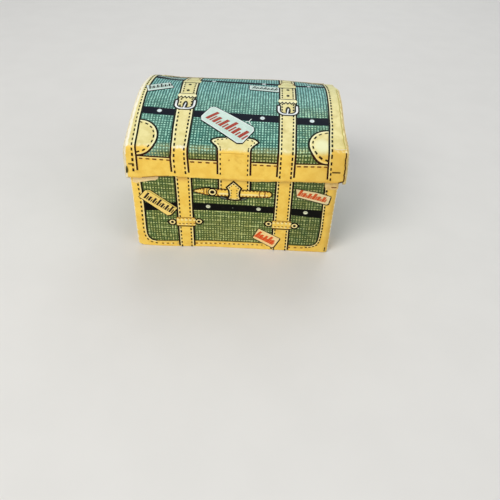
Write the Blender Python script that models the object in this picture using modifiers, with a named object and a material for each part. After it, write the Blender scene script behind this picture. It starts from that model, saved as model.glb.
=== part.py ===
"""A miniature dome trunk of folded card and printed paper, with its lid hinged on a paper strip.

Metres, +Z up. The trunk stands on z = 0 with its front towards -Y. The origin is under the middle
of the closed trunk. The base is a card strip (front wall, floor, back wall) between two end
boards. The lid is a card strip (front lip and dome) between two arched end boards. Each strip has
glue tabs folded in at its ends, and each board is covered with printed paper.
"""

import math

import bmesh
import bpy
from mathutils import Vector

# The closed trunk: the base is measured over its papers
base_width = 0.060
base_depth = 0.050
fold_height = 0.036
dome_rise = 0.0059
lip_height = 0.0099

# Stock that the trunk is made from
card_thickness = 0.0005
board_thickness = 0.0007
paper_thickness = 0.00015
strip_thickness = 0.00015
glue_line = 0.0001

# Clearances between the base and the lid
lip_clearance = 0.0003
end_clearance = 0.0007
seat_gap = 0.0003

# Base details
corner_radius = 0.0008
paper_turn = 0.0012
paper_inset = 0.0003
paper_joint = 0.0002
base_tab_depth = 0.006
base_tab_mitre = 0.0078
base_tab_taper = 0.0006

# Lid details
lid_tab_depth = 0.004
lid_tab_margin = 0.0045
lid_tab_clearance = 0.0008
lid_tab_notch = 0.0005
lid_corner_radius = 0.0015

# The paper hinge strip, creased along the top of the back wall
base_leaf_height = 0.008
lid_leaf_length = 0.006
leaf_crease = 0.0003
leaf_end_inset = 0.0012

# Counts
LID_TABS = 6
TAB_FACETS = 3
MARGIN_FACETS = 2
CORNER_FACETS = 4

# Worked out from the sizes above
skin = paper_thickness + glue_line
hinge_skin = strip_thickness + glue_line
lip_overhang = lip_clearance + card_thickness + skin
trunk_depth = lip_overhang + base_depth + hinge_skin
front_y = lip_overhang - trunk_depth / 2
back_y = front_y + base_depth
lip_y = -trunk_depth / 2
base_half = base_width / 2
end_board_x = base_half - skin - board_thickness
base_strip_half = end_board_x - glue_line
lid_board_x = base_half + end_clearance
lid_strip_half = lid_board_x - glue_line
lip_bottom = fold_height - lip_height
touch = glue_line / 2

# The dome's arc runs over the printed paper from the front fold to the rear edge
half_chord = -lip_y
dome_radius = (half_chord**2 + dome_rise**2) / (2 * dome_rise)
dome_centre_z = fold_height + dome_rise - dome_radius
dome_half_angle = math.asin(half_chord / dome_radius)


def dome_z(y, inset):
    """Height of the dome at y, on a surface that lies this far under the printed paper's face."""
    return dome_centre_z + math.sqrt((dome_radius - inset) ** 2 - y**2)


def dome_point(angle, inset):
    """The point (y, z) on such a surface at an angle from the crest, positive to the rear."""
    radius = dome_radius - inset
    return radius * math.sin(angle), dome_centre_z + radius * math.cos(angle)


under_lid = skin + card_thickness
front_wall_top = dome_z(front_y + skin, under_lid) - seat_gap
back_wall_top = dome_z(back_y - skin, under_lid) - seat_gap
hinge_y = back_y + glue_line + strip_thickness / 2
hinge_z = back_wall_top + seat_gap / 2
tab_floor = front_wall_top + lid_tab_clearance


def clear_scene():
    for obj in list(bpy.data.objects):
        bpy.data.objects.remove(obj, do_unlink=True)


def new_collection(name):
    made = bpy.data.collections.new(name)
    bpy.context.scene.collection.children.link(made)
    return made


def material(name, colour, roughness):
    made = bpy.data.materials.new(name)
    made.use_nodes = True
    shader = made.node_tree.nodes["Principled BSDF"]
    shader.inputs["Base Color"].default_value = (*colour, 1)
    shader.inputs["Roughness"].default_value = roughness
    shader.inputs["Metallic"].default_value = 0
    made.diffuse_color = (*colour, 1)
    return made


def add_object(name, data, finish, parent):
    data.materials.append(finish)
    made = bpy.data.objects.new(name, data)
    trunk.objects.link(made)
    made.parent = parent
    made.matrix_parent_inverse = parent.matrix_world.inverted()
    return made


def sheet_surface(profile, across, first, last):
    """An open surface: a profile drawn in one plane and extruded along the third axis."""
    bm = bmesh.new()
    row = [bm.verts.new(point) for point in profile]
    edges = [bm.edges.new(pair) for pair in zip(row, row[1:])]
    bmesh.ops.translate(bm, verts=row, vec=across * first)
    grown = bmesh.ops.extrude_edge_only(bm, edges=edges)["geom"]
    new_row = [item for item in grown if isinstance(item, bmesh.types.BMVert)]
    bmesh.ops.translate(bm, verts=new_row, vec=across * (last - first))
    return bm


def face_outwards(bm, outward):
    """Turns every face so that the one that lies furthest outward also looks that way."""
    bmesh.ops.recalc_face_normals(bm, faces=bm.faces)
    bm.normal_update()
    furthest = max(bm.faces, key=lambda face: face.calc_center_median().dot(outward))
    if furthest.normal.dot(outward) < 0:
        bmesh.ops.reverse_faces(bm, faces=bm.faces)


def sheet_object(name, bm, thickness, outward, finish, parent):
    """Gives an open surface its thickness, inwards from the face that the surface draws."""
    face_outwards(bm, outward)
    mesh = bpy.data.meshes.new(name)
    bm.to_mesh(mesh)
    bm.free()
    made = add_object(name, mesh, finish, parent)
    solid = made.modifiers.new("Thickness", "SOLIDIFY")
    solid.thickness = thickness
    solid.offset = -1
    solid.use_even_offset = True
    solid.use_quality_normals = True
    return made


def end_edges(bm, x, keep):
    """The border edges at one end of a strip whose middle (y, z) passes the test."""
    found = []
    for edge in bm.edges:
        if not edge.is_boundary:
            continue
        if max(abs(vert.co.x - x) for vert in edge.verts) > touch:
            continue
        middle = (edge.verts[0].co + edge.verts[1].co) / 2
        if keep(middle.y, middle.z):
            found.append(edge)
    return found


def fold_tab(bm, edges, place):
    """Folds a glue tab in from the edges. place(point) gives each new corner's position."""
    grown = bmesh.ops.extrude_edge_only(bm, edges=edges)["geom"]
    corners = [item for item in grown if isinstance(item, bmesh.types.BMVert)]
    for corner in corners:
        corner.co = place(corner.co.copy())


def flat_board(name, outline, inner_x, thickness, side, finish, parent):
    """A board cut to an outline in the YZ plane, standing outwards from inner_x on one side."""
    curve = bpy.data.curves.new(name, "CURVE")
    curve.dimensions = "2D"
    curve.fill_mode = "BOTH"
    curve.extrude = thickness / 2
    spline = curve.splines.new("POLY")
    spline.points.add(len(outline) - 1)
    for point, (y, z) in zip(spline.points, outline):
        point.co = (y, z, 0, 1)
    spline.use_cyclic_u = True
    made = add_object(name, curve, finish, parent)
    made.rotation_euler = (math.radians(90), 0, math.radians(90))
    made.location = (side * (inner_x + thickness / 2), 0, 0)
    return made


def corner_arc(centre, radius, start, end):
    """Points of an arc about a centre, in degrees from the first axis."""
    steps = [start + (end - start) * i / CORNER_FACETS for i in range(CORNER_FACETS + 1)]
    return [
        (
            centre[0] + radius * math.cos(math.radians(step)),
            centre[1] + radius * math.sin(math.radians(step)),
        )
        for step in steps
    ]


def dome_angles(first, last):
    """Angles of the dome's facets between two angles, on the pattern that the glue tabs need."""
    margin = lid_tab_margin / dome_radius
    inner = 2 * (dome_half_angle - margin)
    angles = [-dome_half_angle + margin * i / MARGIN_FACETS for i in range(MARGIN_FACETS)]
    count = LID_TABS * TAB_FACETS
    angles += [-dome_half_angle + margin + inner * i / count for i in range(count + 1)]
    angles += [dome_half_angle - margin * (MARGIN_FACETS - i) / MARGIN_FACETS
               for i in range(1, MARGIN_FACETS + 1)]
    between = [angle for angle in angles if first < angle < last]
    return [first, *between, last]


def front_angle(y, inset):
    """Angle at which a surface under the paper meets the upright plane at y."""
    return math.asin(y / (dome_radius - inset))


def lid_profile(inset, bottom):
    """The lid strip's section from the lip's lower edge over the dome to the rear edge."""
    y = lip_y + inset
    angles = dome_angles(front_angle(y, inset), dome_half_angle)
    return [(y, bottom)] + [dome_point(angle, inset) for angle in angles]


def base_strip():
    """Front wall, floor and back wall in one card, with tabs folded in at both ends."""
    y_front = front_y + skin
    y_back = back_y - skin
    profile = [
        (0, y_front, front_wall_top),
        (0, y_front, 0),
        (0, y_back, 0),
        (0, y_back, back_wall_top),
    ]
    bm = sheet_surface(profile, Vector((1, 0, 0)), -base_strip_half, base_strip_half)
    middle_z = front_wall_top / 2

    def on_front(point):
        near_floor = point.z < middle_z
        slide = base_tab_mitre if near_floor else -base_tab_taper
        return Vector((point.x, point.y + base_tab_depth, point.z + slide))

    def on_back(point):
        near_floor = point.z < middle_z
        slide = base_tab_mitre if near_floor else -base_tab_taper
        return Vector((point.x, point.y - base_tab_depth, point.z + slide))

    def on_floor(point):
        slide = base_tab_mitre if point.y < 0 else -base_tab_mitre
        return Vector((point.x, point.y + slide, point.z + base_tab_depth))

    for x in (-base_strip_half, base_strip_half):
        front = end_edges(bm, x, lambda y, z: y < y_front + touch)
        floor = end_edges(bm, x, lambda y, z: z < touch)
        back = end_edges(bm, x, lambda y, z: y > y_back - touch)
        fold_tab(bm, front, on_front)
        fold_tab(bm, floor, on_floor)
        fold_tab(bm, back, on_back)
    sheet_object("base_strip_board", bm, card_thickness, Vector((0, -1, 0)), raw_card, base_root)


def base_end_board(side, word):
    """A plain rectangle of board whose upright outer edges are rounded for the paper to turn."""
    y_front = front_y + skin
    y_back = back_y - skin
    bm = bmesh.new()
    bmesh.ops.create_cube(bm, size=1)
    size = Vector((board_thickness, y_back - y_front, back_wall_top))
    bmesh.ops.scale(bm, vec=size, verts=bm.verts)
    place = Vector((
        side * (end_board_x + board_thickness / 2),
        (y_front + y_back) / 2,
        back_wall_top / 2,
    ))
    bmesh.ops.translate(bm, vec=place, verts=bm.verts)
    upright = []
    for edge in bm.edges:
        outer = all(vert.co.x * side > end_board_x + board_thickness / 2 for vert in edge.verts)
        rising = abs(edge.verts[0].co.z - edge.verts[1].co.z) > board_thickness
        if outer and rising:
            upright.append(edge)
    round_off = min(corner_radius - skin, board_thickness - glue_line)
    bmesh.ops.bevel(
        bm, geom=upright, offset=round_off, segments=CORNER_FACETS, profile=0.5, affect="EDGES"
    )
    name = "base_end_board_" + word
    mesh = bpy.data.meshes.new(name)
    bm.to_mesh(mesh)
    bm.free()
    mesh.shade_smooth()
    mesh.set_sharp_from_angle(angle=math.radians(40))
    add_object(name, mesh, raw_board, base_root)


def wrapped_paper(name, wall_y, facing, top):
    """A wall's printed paper: flat on the wall, and turned round both corners onto the ends."""
    bend_x = base_half - corner_radius
    bend_y = wall_y - facing * corner_radius
    turn_y = bend_y - facing * paper_turn
    quarter = corner_arc((bend_x, 0), corner_radius, 0, 90)
    right = [(base_half, turn_y, 0)]
    right += [(x, bend_y + facing * rise, 0) for x, rise in quarter]
    left = [(-x, y, 0) for x, y, _ in reversed(right)]
    bm = sheet_surface(right + left, Vector((0, 0, 1)), paper_inset, top - paper_inset)
    sheet_object(name, bm, paper_thickness, Vector((1, 0, 0)), base_print, base_root)


def base_end_paper(side, word):
    """The printed paper on an end, between the turned edges of the front and back papers."""
    reach = corner_radius + paper_turn + paper_joint
    low_y = front_y + reach
    high_y = back_y - reach
    low_z = paper_inset
    high_z = back_wall_top - paper_inset
    outline = [(low_y, low_z), (high_y, low_z), (high_y, high_z), (low_y, high_z)]
    inner_x = base_half - paper_thickness
    name = "base_end_paper_" + word
    flat_board(name, outline, inner_x, paper_thickness, side, base_print, base_root)


def hinge_base_leaf():
    """The half of the hinge strip that is glued to the back wall."""
    half = base_half - corner_radius - leaf_end_inset
    top = hinge_z - leaf_crease
    face = back_y + glue_line + strip_thickness
    profile = [(-half, face, 0), (half, face, 0)]
    bm = sheet_surface(profile, Vector((0, 0, 1)), top - base_leaf_height, top)
    sheet_object("hinge_strip_base_leaf", bm, strip_thickness, Vector((0, 1, 0)), strip_paper, base_root)


def lid_strip():
    """Front lip and dome in one card, with a row of tabs folded down at both ends of the dome."""
    profile = [(0, y, z) for y, z in lid_profile(skin, lip_bottom)]
    bm = sheet_surface(profile, Vector((1, 0, 0)), -lid_strip_half, lid_strip_half)
    start = dome_half_angle - lid_tab_margin / dome_radius
    step = 2 * start / LID_TABS
    for x in (-lid_strip_half, lid_strip_half):
        for i in range(LID_TABS):
            low = (dome_radius - skin) * math.sin(-start + step * i)
            high = (dome_radius - skin) * math.sin(-start + step * (i + 1))

            def place(point, low=low, high=high):
                narrow = lid_tab_notch * (low + high - 2 * point.y) / (high - low)
                down = max(point.z - lid_tab_depth, tab_floor)
                return Vector((point.x, point.y + narrow, down))

            def in_tab(y, z, low=low, high=high):
                return low < y < high and z > fold_height

            fold_tab(bm, end_edges(bm, x, in_tab), place)
    made = sheet_object("lid_strip_board", bm, card_thickness, Vector((0, -1, 0)), raw_card, lid_root)
    made.data.shade_smooth()
    made.data.set_sharp_from_angle(angle=math.radians(15))


def lid_outline(inset, edge_inset):
    """The arched outline of a lid end: rounded lower corners, upright sides and the dome's arc."""
    y_front = lip_y + inset + edge_inset
    y_rear = -y_front
    low = lip_bottom + edge_inset
    round_in = lid_corner_radius - edge_inset
    depth = inset + edge_inset
    angles = dome_angles(front_angle(y_front, depth), front_angle(y_rear, depth))
    arch = [dome_point(angle, depth) for angle in reversed(angles)]
    front_corner = corner_arc((y_front + round_in, low + round_in), round_in, 180, 270)
    rear_corner = corner_arc((y_rear - round_in, low + round_in), round_in, 270, 360)
    return front_corner + rear_corner + arch


def lid_end_board(side, word):
    name = "lid_end_board_" + word
    flat_board(name, lid_outline(skin, 0), lid_board_x, board_thickness, side, raw_board, lid_root)


def lid_end_paper(side, word):
    """The printed paper on an arched end, a little smaller than its board all round."""
    name = "lid_end_paper_" + word
    outline = lid_outline(skin, paper_inset)
    inner_x = lid_board_x + board_thickness + glue_line
    flat_board(name, outline, inner_x, paper_thickness, side, lid_print, lid_root)


def lid_strip_paper():
    """The printed paper over the lip and the dome in one piece."""
    profile = [(0, y, z) for y, z in lid_profile(0, lip_bottom + paper_inset)]
    bm = sheet_surface(profile, Vector((1, 0, 0)), -lid_strip_half, lid_strip_half)
    made = sheet_object("lid_strip_paper", bm, paper_thickness, Vector((0, -1, 0)), lid_print, lid_root)
    made.data.shade_smooth()
    made.data.set_sharp_from_angle(angle=math.radians(15))


def hinge_lid_leaf():
    """The half of the hinge strip that is glued over the rear edge of the dome."""
    half = base_half - corner_radius - leaf_end_inset
    last = dome_half_angle - leaf_crease / dome_radius
    first = last - lid_leaf_length / dome_radius
    profile = [(0, *dome_point(angle, -hinge_skin)) for angle in dome_angles(first, last)]
    bm = sheet_surface(profile, Vector((1, 0, 0)), -half, half)
    sheet_object("hinge_strip_lid_leaf", bm, strip_thickness, Vector((0, 0, 1)), strip_paper, lid_root)


clear_scene()
trunk = new_collection("miniature_dome_trunk")
raw_card = material("raw_card", (0.62, 0.53, 0.38), 0.9)
raw_board = material("raw_board", (0.66, 0.57, 0.42), 0.9)
base_print = material("base_print", (0.22, 0.28, 0.07), 0.6)
lid_print = material("lid_print", (0.16, 0.34, 0.22), 0.55)
strip_paper = material("strip_paper", (0.70, 0.50, 0.17), 0.8)

base_root = bpy.data.objects.new("base_root", None)
trunk.objects.link(base_root)
lid_root = bpy.data.objects.new("lid_hinge_axis", None)
trunk.objects.link(lid_root)
lid_root.location = (0, hinge_y, hinge_z)
lid_root.parent = base_root
bpy.context.view_layer.update()

base_strip()
wrapped_paper("base_front_paper", front_y, -1, front_wall_top)
wrapped_paper("base_back_paper", back_y, 1, back_wall_top)
hinge_base_leaf()
lid_strip()
lid_strip_paper()
hinge_lid_leaf()
for side, word in ((-1, "left"), (1, "right")):
    base_end_board(side, word)
    base_end_paper(side, word)
    lid_end_board(side, word)
    lid_end_paper(side, word)
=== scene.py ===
import math

import bmesh
import bpy
import numpy as np
from mathutils import Matrix, Vector


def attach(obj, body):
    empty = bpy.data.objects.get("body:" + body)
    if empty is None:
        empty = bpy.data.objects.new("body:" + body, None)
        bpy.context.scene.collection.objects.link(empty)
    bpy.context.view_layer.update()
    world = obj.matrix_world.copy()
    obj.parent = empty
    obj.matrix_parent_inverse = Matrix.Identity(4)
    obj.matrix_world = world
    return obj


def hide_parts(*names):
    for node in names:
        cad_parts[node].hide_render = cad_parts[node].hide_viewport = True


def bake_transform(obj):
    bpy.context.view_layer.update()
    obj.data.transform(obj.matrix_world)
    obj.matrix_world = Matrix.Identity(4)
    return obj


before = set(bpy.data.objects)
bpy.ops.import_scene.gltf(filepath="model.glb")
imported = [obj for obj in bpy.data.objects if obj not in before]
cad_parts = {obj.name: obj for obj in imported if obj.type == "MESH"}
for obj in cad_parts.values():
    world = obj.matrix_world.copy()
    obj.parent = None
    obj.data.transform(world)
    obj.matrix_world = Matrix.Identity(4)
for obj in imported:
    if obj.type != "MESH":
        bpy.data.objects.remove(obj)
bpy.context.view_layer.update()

# The trunk's sizes in millimetres, as the card model has them
MM = 0.001
FRONT_Y = -24.6
BACK_Y = 25.4
LIP_Y = -25.65
BASE_HALF = 30.0
CORNER = 0.8
FOLD_Z = 36.0
DOME_RISE = 5.9
WALL_TOP = 35.2
BACK_TOP = 34.8
PAPER = 0.15
CARD = 0.5
BOARD = 0.7
GLUE = 0.1
STRIP_HALF = 30.6
LID_FACE_X = 31.65
DOME_RADIUS = (LIP_Y**2 + DOME_RISE**2) / (2 * DOME_RISE)
DOME_CENTRE = FOLD_Z + DOME_RISE - DOME_RADIUS
DOME_HALF = math.asin(-LIP_Y / DOME_RADIUS)
DOME_LENGTH = 2 * DOME_HALF * DOME_RADIUS

# Ink lies in films this thick, in the order in which the print is built up
FILM = 0.009
ORDER = (
    "canvas", "slat", "rivet_rim", "rivet", "patch", "edging", "leather", "ink", "stitch", "fitting_ink",
    "fitting", "steel_ink", "steel", "label_shadow", "label", "label_tint", "mark", "torn", "over",
)


# Shapes in the flat
def arc(centre, size, first, last, count=12):
    """Points of an arc in the flat, in degrees, on a circle or an ellipse."""
    rx, ry = size if isinstance(size, tuple) else (size, size)
    turns = [math.radians(first + (last - first) * i / count) for i in range(count + 1)]
    return [(centre[0] + rx * math.cos(a), centre[1] + ry * math.sin(a)) for a in turns]


def rounded(corners, radius, count=6):
    """A closed outline with its corners cut by arcs. radius is one size, or one for each corner."""
    sizes = radius if isinstance(radius, (tuple, list)) else [radius] * len(corners)
    made = []
    for i, corner in enumerate(corners):
        here = Vector(corner)
        to_last = (Vector(corners[i - 1]) - here).normalized()
        to_next = (Vector(corners[(i + 1) % len(corners)]) - here).normalized()
        if sizes[i] <= 0:
            made.append(tuple(here))
            continue
        half = to_last.angle(to_next) / 2
        reach = sizes[i] / math.tan(half)
        start, end = here + to_last * reach, here + to_next * reach
        for j in range(count + 1):
            share = j / count
            point = start.lerp(here, share).lerp(here.lerp(end, share), share)
            made.append(tuple(point))
    return made


def beside(points, distance, closed=False):
    """The path moved to its left by a distance, mitred at its corners."""
    path = [Vector(p) for p in points]
    made = []
    for i, here in enumerate(path):
        before = path[i - 1] if closed or i else None
        after = path[(i + 1) % len(path)] if closed or i + 1 < len(path) else None
        steps = []
        if before is not None:
            steps.append((here - before).normalized())
        if after is not None:
            steps.append((after - here).normalized())
        lefts = [Vector((-s.y, s.x)) for s in steps]
        side = sum(lefts, Vector((0, 0))).normalized()
        made.append(tuple(here + side * distance / max(side.dot(lefts[0]), 0.5)))
    return made


def moved(points, by):
    return [(u + by[0], v + by[1]) for u, v in points]


def turned(points, centre, degrees):
    """Points drawn about the origin, turned and put on a centre."""
    c, s = math.cos(math.radians(degrees)), math.sin(math.radians(degrees))
    return [(centre[0] + u * c - v * s, centre[1] + u * s + v * c) for u, v in points]


def box(u0, v0, u1, v1):
    return [(u0, v0), (u1, v0), (u1, v1), (u0, v1)]


def mirrored(points):
    return [(-u, v) for u, v in reversed(points)]


def area_of(points):
    return sum(a[0] * b[1] - b[0] * a[1] for a, b in zip(points, points[1:] + points[:1])) / 2


def slab(bm, outline, low, high, face_index=0, rest_index=0):
    """A closed flat body between two heights, from an outline."""
    outline = outline if area_of(outline) > 0 else outline[::-1]
    under = [bm.verts.new((u, v, low)) for u, v in outline]
    over = [bm.verts.new((u, v, high)) for u, v in outline]
    bm.faces.new(under[::-1]).material_index = rest_index
    bm.faces.new(over).material_index = face_index
    for i in range(len(under)):
        j = (i + 1) % len(under)
        side = bm.faces.new((under[i], under[j], over[j], over[i]))
        side.material_index = rest_index


def band(bm, points, width, low, high, closed=False):
    """A closed flat body that follows a path in the flat at one width."""
    left = beside(points, width / 2, closed)
    right = beside(points, -width / 2, closed)
    rings = []
    for a, b in zip(left, right):
        rings.append([bm.verts.new((*p, h)) for p, h in ((a, low), (b, low), (b, high), (a, high))])
    pairs = list(zip(rings, rings[1:]))
    if closed:
        pairs.append((rings[-1], rings[0]))
    for one, two in pairs:
        for i in range(4):
            j = (i + 1) % 4
            bm.faces.new((one[i], one[j], two[j], two[i]))
    if not closed:
        bm.faces.new(rings[0][::-1])
        bm.faces.new(rings[-1])


# Where the flat sheets lie
def smooth(value, low, high):
    share = np.clip((value - low) / (high - low), 0, 1)
    return share * share * (3 - 2 * share)


def ripple(u, v):
    """How far the papers stand off dead flat, in millimetres."""
    return 0.022 * np.sin(u * 0.31 + 1.1) * np.sin(v * 0.27 + 0.6) + 0.014 * np.sin(u * 0.19 - v * 0.23)


# How far the ends stand outside the card model's, in millimetres: base left and right, then lid by height
BASE_SPREAD = (1.0, 0.4)
LID_SPREAD_HEIGHTS = (26.0, 30.5, 33.5, 36.0, 38.3, 42.0)
LID_SPREAD_LEFT = (0.3, 0.25, 0.1, -0.35, -0.5, -0.42)
LID_SPREAD_RIGHT = (0.75, 0.65, 0.42, 0.15, -0.25, -0.25)
RIGHT_SWAY = ((-26, -14, -8.6, -4, 4.4, 8.6, 10.5, 14.3, 25),
              (-0.25, -0.6, -0.55, -0.42, -0.36, -0.15, -0.5, -0.85, -0.8))
REAR_LIFT = ((-30, -28, -26, -24, -22, -20, -16, -2, 8, 12, 18, 24, 26, 28, 30.6),
             (0.33, 0.3, 0.06, -0.25, -0.38, -0.4, -0.21, 0.04, 0.3, 0.4, 0.04, -0.2, -0.38, -0.47, -0.43))


def settle_base(points, ramp=(29.45, 29.8)):
    """The trunk has spread a little at its ends, and its lower corners are knocked in."""
    x, y, z = points.T
    worn = np.where(x < 0, 0.8, 0.3) * np.clip(1 - z / 3.0, 0, 1)
    lift = worn * np.clip((np.abs(x) - 28.7) / 1.3, 0, 1) ** 2
    left = -BASE_SPREAD[0] * (1 - 0.7 * smooth(y, -12, 8))
    spread = np.where(x < 0, left, BASE_SPREAD[1]) * (1 - 0.6 * smooth(z, 26.5, 29.0))
    bulge = 0.8 * smooth(-x, 5, 25) * smooth(-y, 10, 24) * (1 - smooth(z, 4, 20))
    return np.stack([x + spread * np.clip((np.abs(x) - ramp[0]) / (ramp[1] - ramp[0]), 0, 1), y - bulge, z + lift], 1)


def settle_boards(points):
    return settle_base(points, (20.0, 28.9))


def settle_lid(points):
    """The lid's ends bulge below the fold and lean in above it, and its right front fold stands proud."""
    x, y, z = points.T
    left = np.interp(z, LID_SPREAD_HEIGHTS, LID_SPREAD_LEFT) * (1 - 1.1 * smooth(y, -12, 8))
    right = np.interp(z, LID_SPREAD_HEIGHTS, LID_SPREAD_RIGHT)
    right = right + (np.interp(y, *RIGHT_SWAY) - right) * smooth(z, 36.5, 39.5)
    spread = np.where(x < 0, left, right) * smooth(np.abs(x), 28.6, 30.6)
    lift = 0.95 * smooth(x, 4, 30) * smooth(z, 33.3, 36.0) * np.exp(-(((y - LIP_Y) / 8.5) ** 2))
    sag = -0.16 * np.exp(-(((x + 2) / 11) ** 2)) * smooth(z, 33.3, 36.0) * np.exp(-(((y - LIP_Y) / 5) ** 2))
    rear = np.interp(x, *REAR_LIFT) * smooth(z, 34, 38) * smooth(y, 6, 18) * (1 - 0.7 * smooth(y, 22, 25.4))
    return np.stack([x + np.sign(x) * spread, y, z + lift + sag + rear], 1)


def on_wall(facing, wall_y):
    """Lays the flat on the front or the back wall, and round its upright corners."""

    def lay(flat):
        u, v, w = flat.T
        bend = BASE_HALF - CORNER
        reach = np.abs(u) - bend
        turn = np.clip(reach / CORNER, 0, math.pi / 2)
        past = np.maximum(reach - CORNER * math.pi / 2, 0)
        out = w + ripple(u, v) * (reach < 0)
        x = np.where(reach < 0, np.abs(u), bend + (CORNER + out) * np.sin(turn))
        depth = np.where(reach < 0, -out, CORNER - (CORNER + out) * np.cos(turn) + past)
        x = x * np.sign(u) * -facing
        return settle_base(np.stack([x, wall_y - facing * depth, v], 1))

    return lay


def proud(w):
    """Lifts ink films a little further off the end papers, which sway both ways at once."""
    return np.where(w > 0.001, w + 0.04, w)


def on_base_end(side):
    def lay(flat):
        u, v, w = flat.T
        w = proud(w)
        return settle_base(np.stack([side * (BASE_HALF + w), side * u, v], 1))

    return lay


def on_lid_end(side):
    def lay(flat):
        u, v, w = flat.T
        w = proud(w)
        return settle_lid(np.stack([side * (LID_FACE_X + w), side * u, v], 1))

    return lay


SOFT = 1.1


def on_lid(flat):
    """Lays the flat over the lip (v below 0), the soft front fold and the dome."""
    u, v, w = flat.T
    angle = np.maximum(v, 0) / DOME_RADIUS - DOME_HALF
    y = np.where(v < 0, LIP_Y, DOME_RADIUS * np.sin(angle))
    z = np.where(v < 0, FOLD_Z + v, DOME_CENTRE + DOME_RADIUS * np.cos(angle))
    out_y = np.where(v < 0, -1.0, np.sin(angle))
    out_z = np.where(v < 0, 0.0, np.cos(angle))
    near = np.abs(v) < SOFT
    share = np.clip((v + SOFT) / (2 * SOFT), 0, 1)
    end = SOFT / DOME_RADIUS - DOME_HALF
    start_y, start_z = LIP_Y, FOLD_Z - SOFT
    end_y, end_z = DOME_RADIUS * math.sin(end), DOME_CENTRE + DOME_RADIUS * math.cos(end)
    bent_y = (1 - share**2) * LIP_Y + share**2 * end_y
    bent_z = (1 - share) ** 2 * start_z + 2 * (1 - share) * share * FOLD_Z + share**2 * end_z
    along_y = share * (end_y - LIP_Y)
    along_z = (1 - share) * (FOLD_Z - start_z) + share * (end_z - FOLD_Z)
    size = np.hypot(along_y, along_z)
    y = np.where(near, bent_y, y)
    z = np.where(near, bent_z, z)
    out_y = np.where(near, -along_z / size, out_y)
    out_z = np.where(near, along_y / size, out_z)
    out = w + ripple(u, v)
    return settle_lid(np.stack([u, y + out_y * out, z + out_z * out], 1))


def along(path):
    """Lays the flat on a strip: u across the trunk, v along a path of (y, z)."""
    path = np.array(path, float)
    steps = np.diff(path, axis=0)
    lengths = np.concatenate([[0], np.cumsum(np.hypot(*steps.T))])
    tangents = np.gradient(path, lengths, axis=0)
    tangents /= np.linalg.norm(tangents, axis=1)[:, None]

    def lay(flat):
        u, v, w = flat.T
        y, z = np.interp(v, lengths, path[:, 0]), np.interp(v, lengths, path[:, 1])
        ty, tz = np.interp(v, lengths, tangents[:, 0]), np.interp(v, lengths, tangents[:, 1])
        return settle_lid(np.stack([-u, y + w * tz, z - w * ty], 1))

    return lay, lengths


def steps_between(first, last, step):
    return [first + step * i for i in range(int((last - first) / step) + 1)]


FOLD_CUTS = steps_between(-SOFT, SOFT, 0.2)
LID_CUTS = (
    steps_between(-30, 30, 2) + [-30.6, -29.3, -28.6, -27, -25, -23, -21, -19, 23, 25, 27, 28.6, 29.3, 30.6],
    steps_between(-10, -2, 1) + FOLD_CUTS + steps_between(2, 53, 1),
)
QUARTER = BASE_HALF - CORNER
CORNER_CUTS = steps_between(QUARTER, QUARTER + CORNER * math.pi / 2 + 0.01, CORNER * math.pi / 12)
WALL_CUTS = (
    steps_between(-28, 28, 2) + CORNER_CUTS + [-c for c in CORNER_CUTS] + [-28.7, 28.7],
    steps_between(0.5, 2.5, 0.5) + steps_between(4, 26, 2) + steps_between(26.5, 29, 0.5) + [31, 33],
)
END_CUTS = (steps_between(-24, 24, 2), steps_between(0.5, 2.5, 0.5) + steps_between(26.5, 40, 1))


def slice_flat(bm, cuts):
    """Cuts flat bodies where the sheet under them bends, so that they follow it."""
    bmesh.ops.triangulate(bm, faces=[f for f in bm.faces if len(f.verts) > 4])
    for axis, places in enumerate(cuts):
        low = min(v.co[axis] for v in bm.verts)
        high = max(v.co[axis] for v in bm.verts)
        across = Vector((1, 0, 0)) if axis == 0 else Vector((0, 1, 0))
        for place in places:
            if low < place < high:
                geometry = bm.verts[:] + bm.edges[:] + bm.faces[:]
                bmesh.ops.bisect_plane(bm, geom=geometry, dist=1e-5, plane_co=across * place, plane_no=across)


def lay_object(name, bm, lay, cuts, materials, body, node=None):
    """Makes a piece of flat bodies: sliced, laid on its sheet, and riding on its body."""
    if cuts:
        slice_flat(bm, cuts)
    mesh = bpy.data.meshes.new(name)
    bm.to_mesh(mesh)
    bm.free()
    flat = np.zeros(len(mesh.vertices) * 3)
    mesh.vertices.foreach_get("co", flat)
    flat = flat.reshape(-1, 3)
    drawn = mesh.attributes.new("print_mm", "FLOAT_VECTOR", "POINT")
    drawn.data.foreach_set("vector", flat.astype(np.float32).ravel())
    mesh.vertices.foreach_set("co", (lay(flat) * MM).astype(np.float32).ravel())
    for finish in materials:
        mesh.materials.append(finish)
    mesh.shade_smooth()
    mesh.set_sharp_from_angle(angle=math.radians(28))
    mesh.update()
    piece = bpy.data.objects.new(name, mesh)
    bpy.context.scene.collection.objects.link(piece)
    if body:
        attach(piece, body)
    if node:
        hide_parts(*([node] if isinstance(node, str) else node))
    return piece


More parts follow.
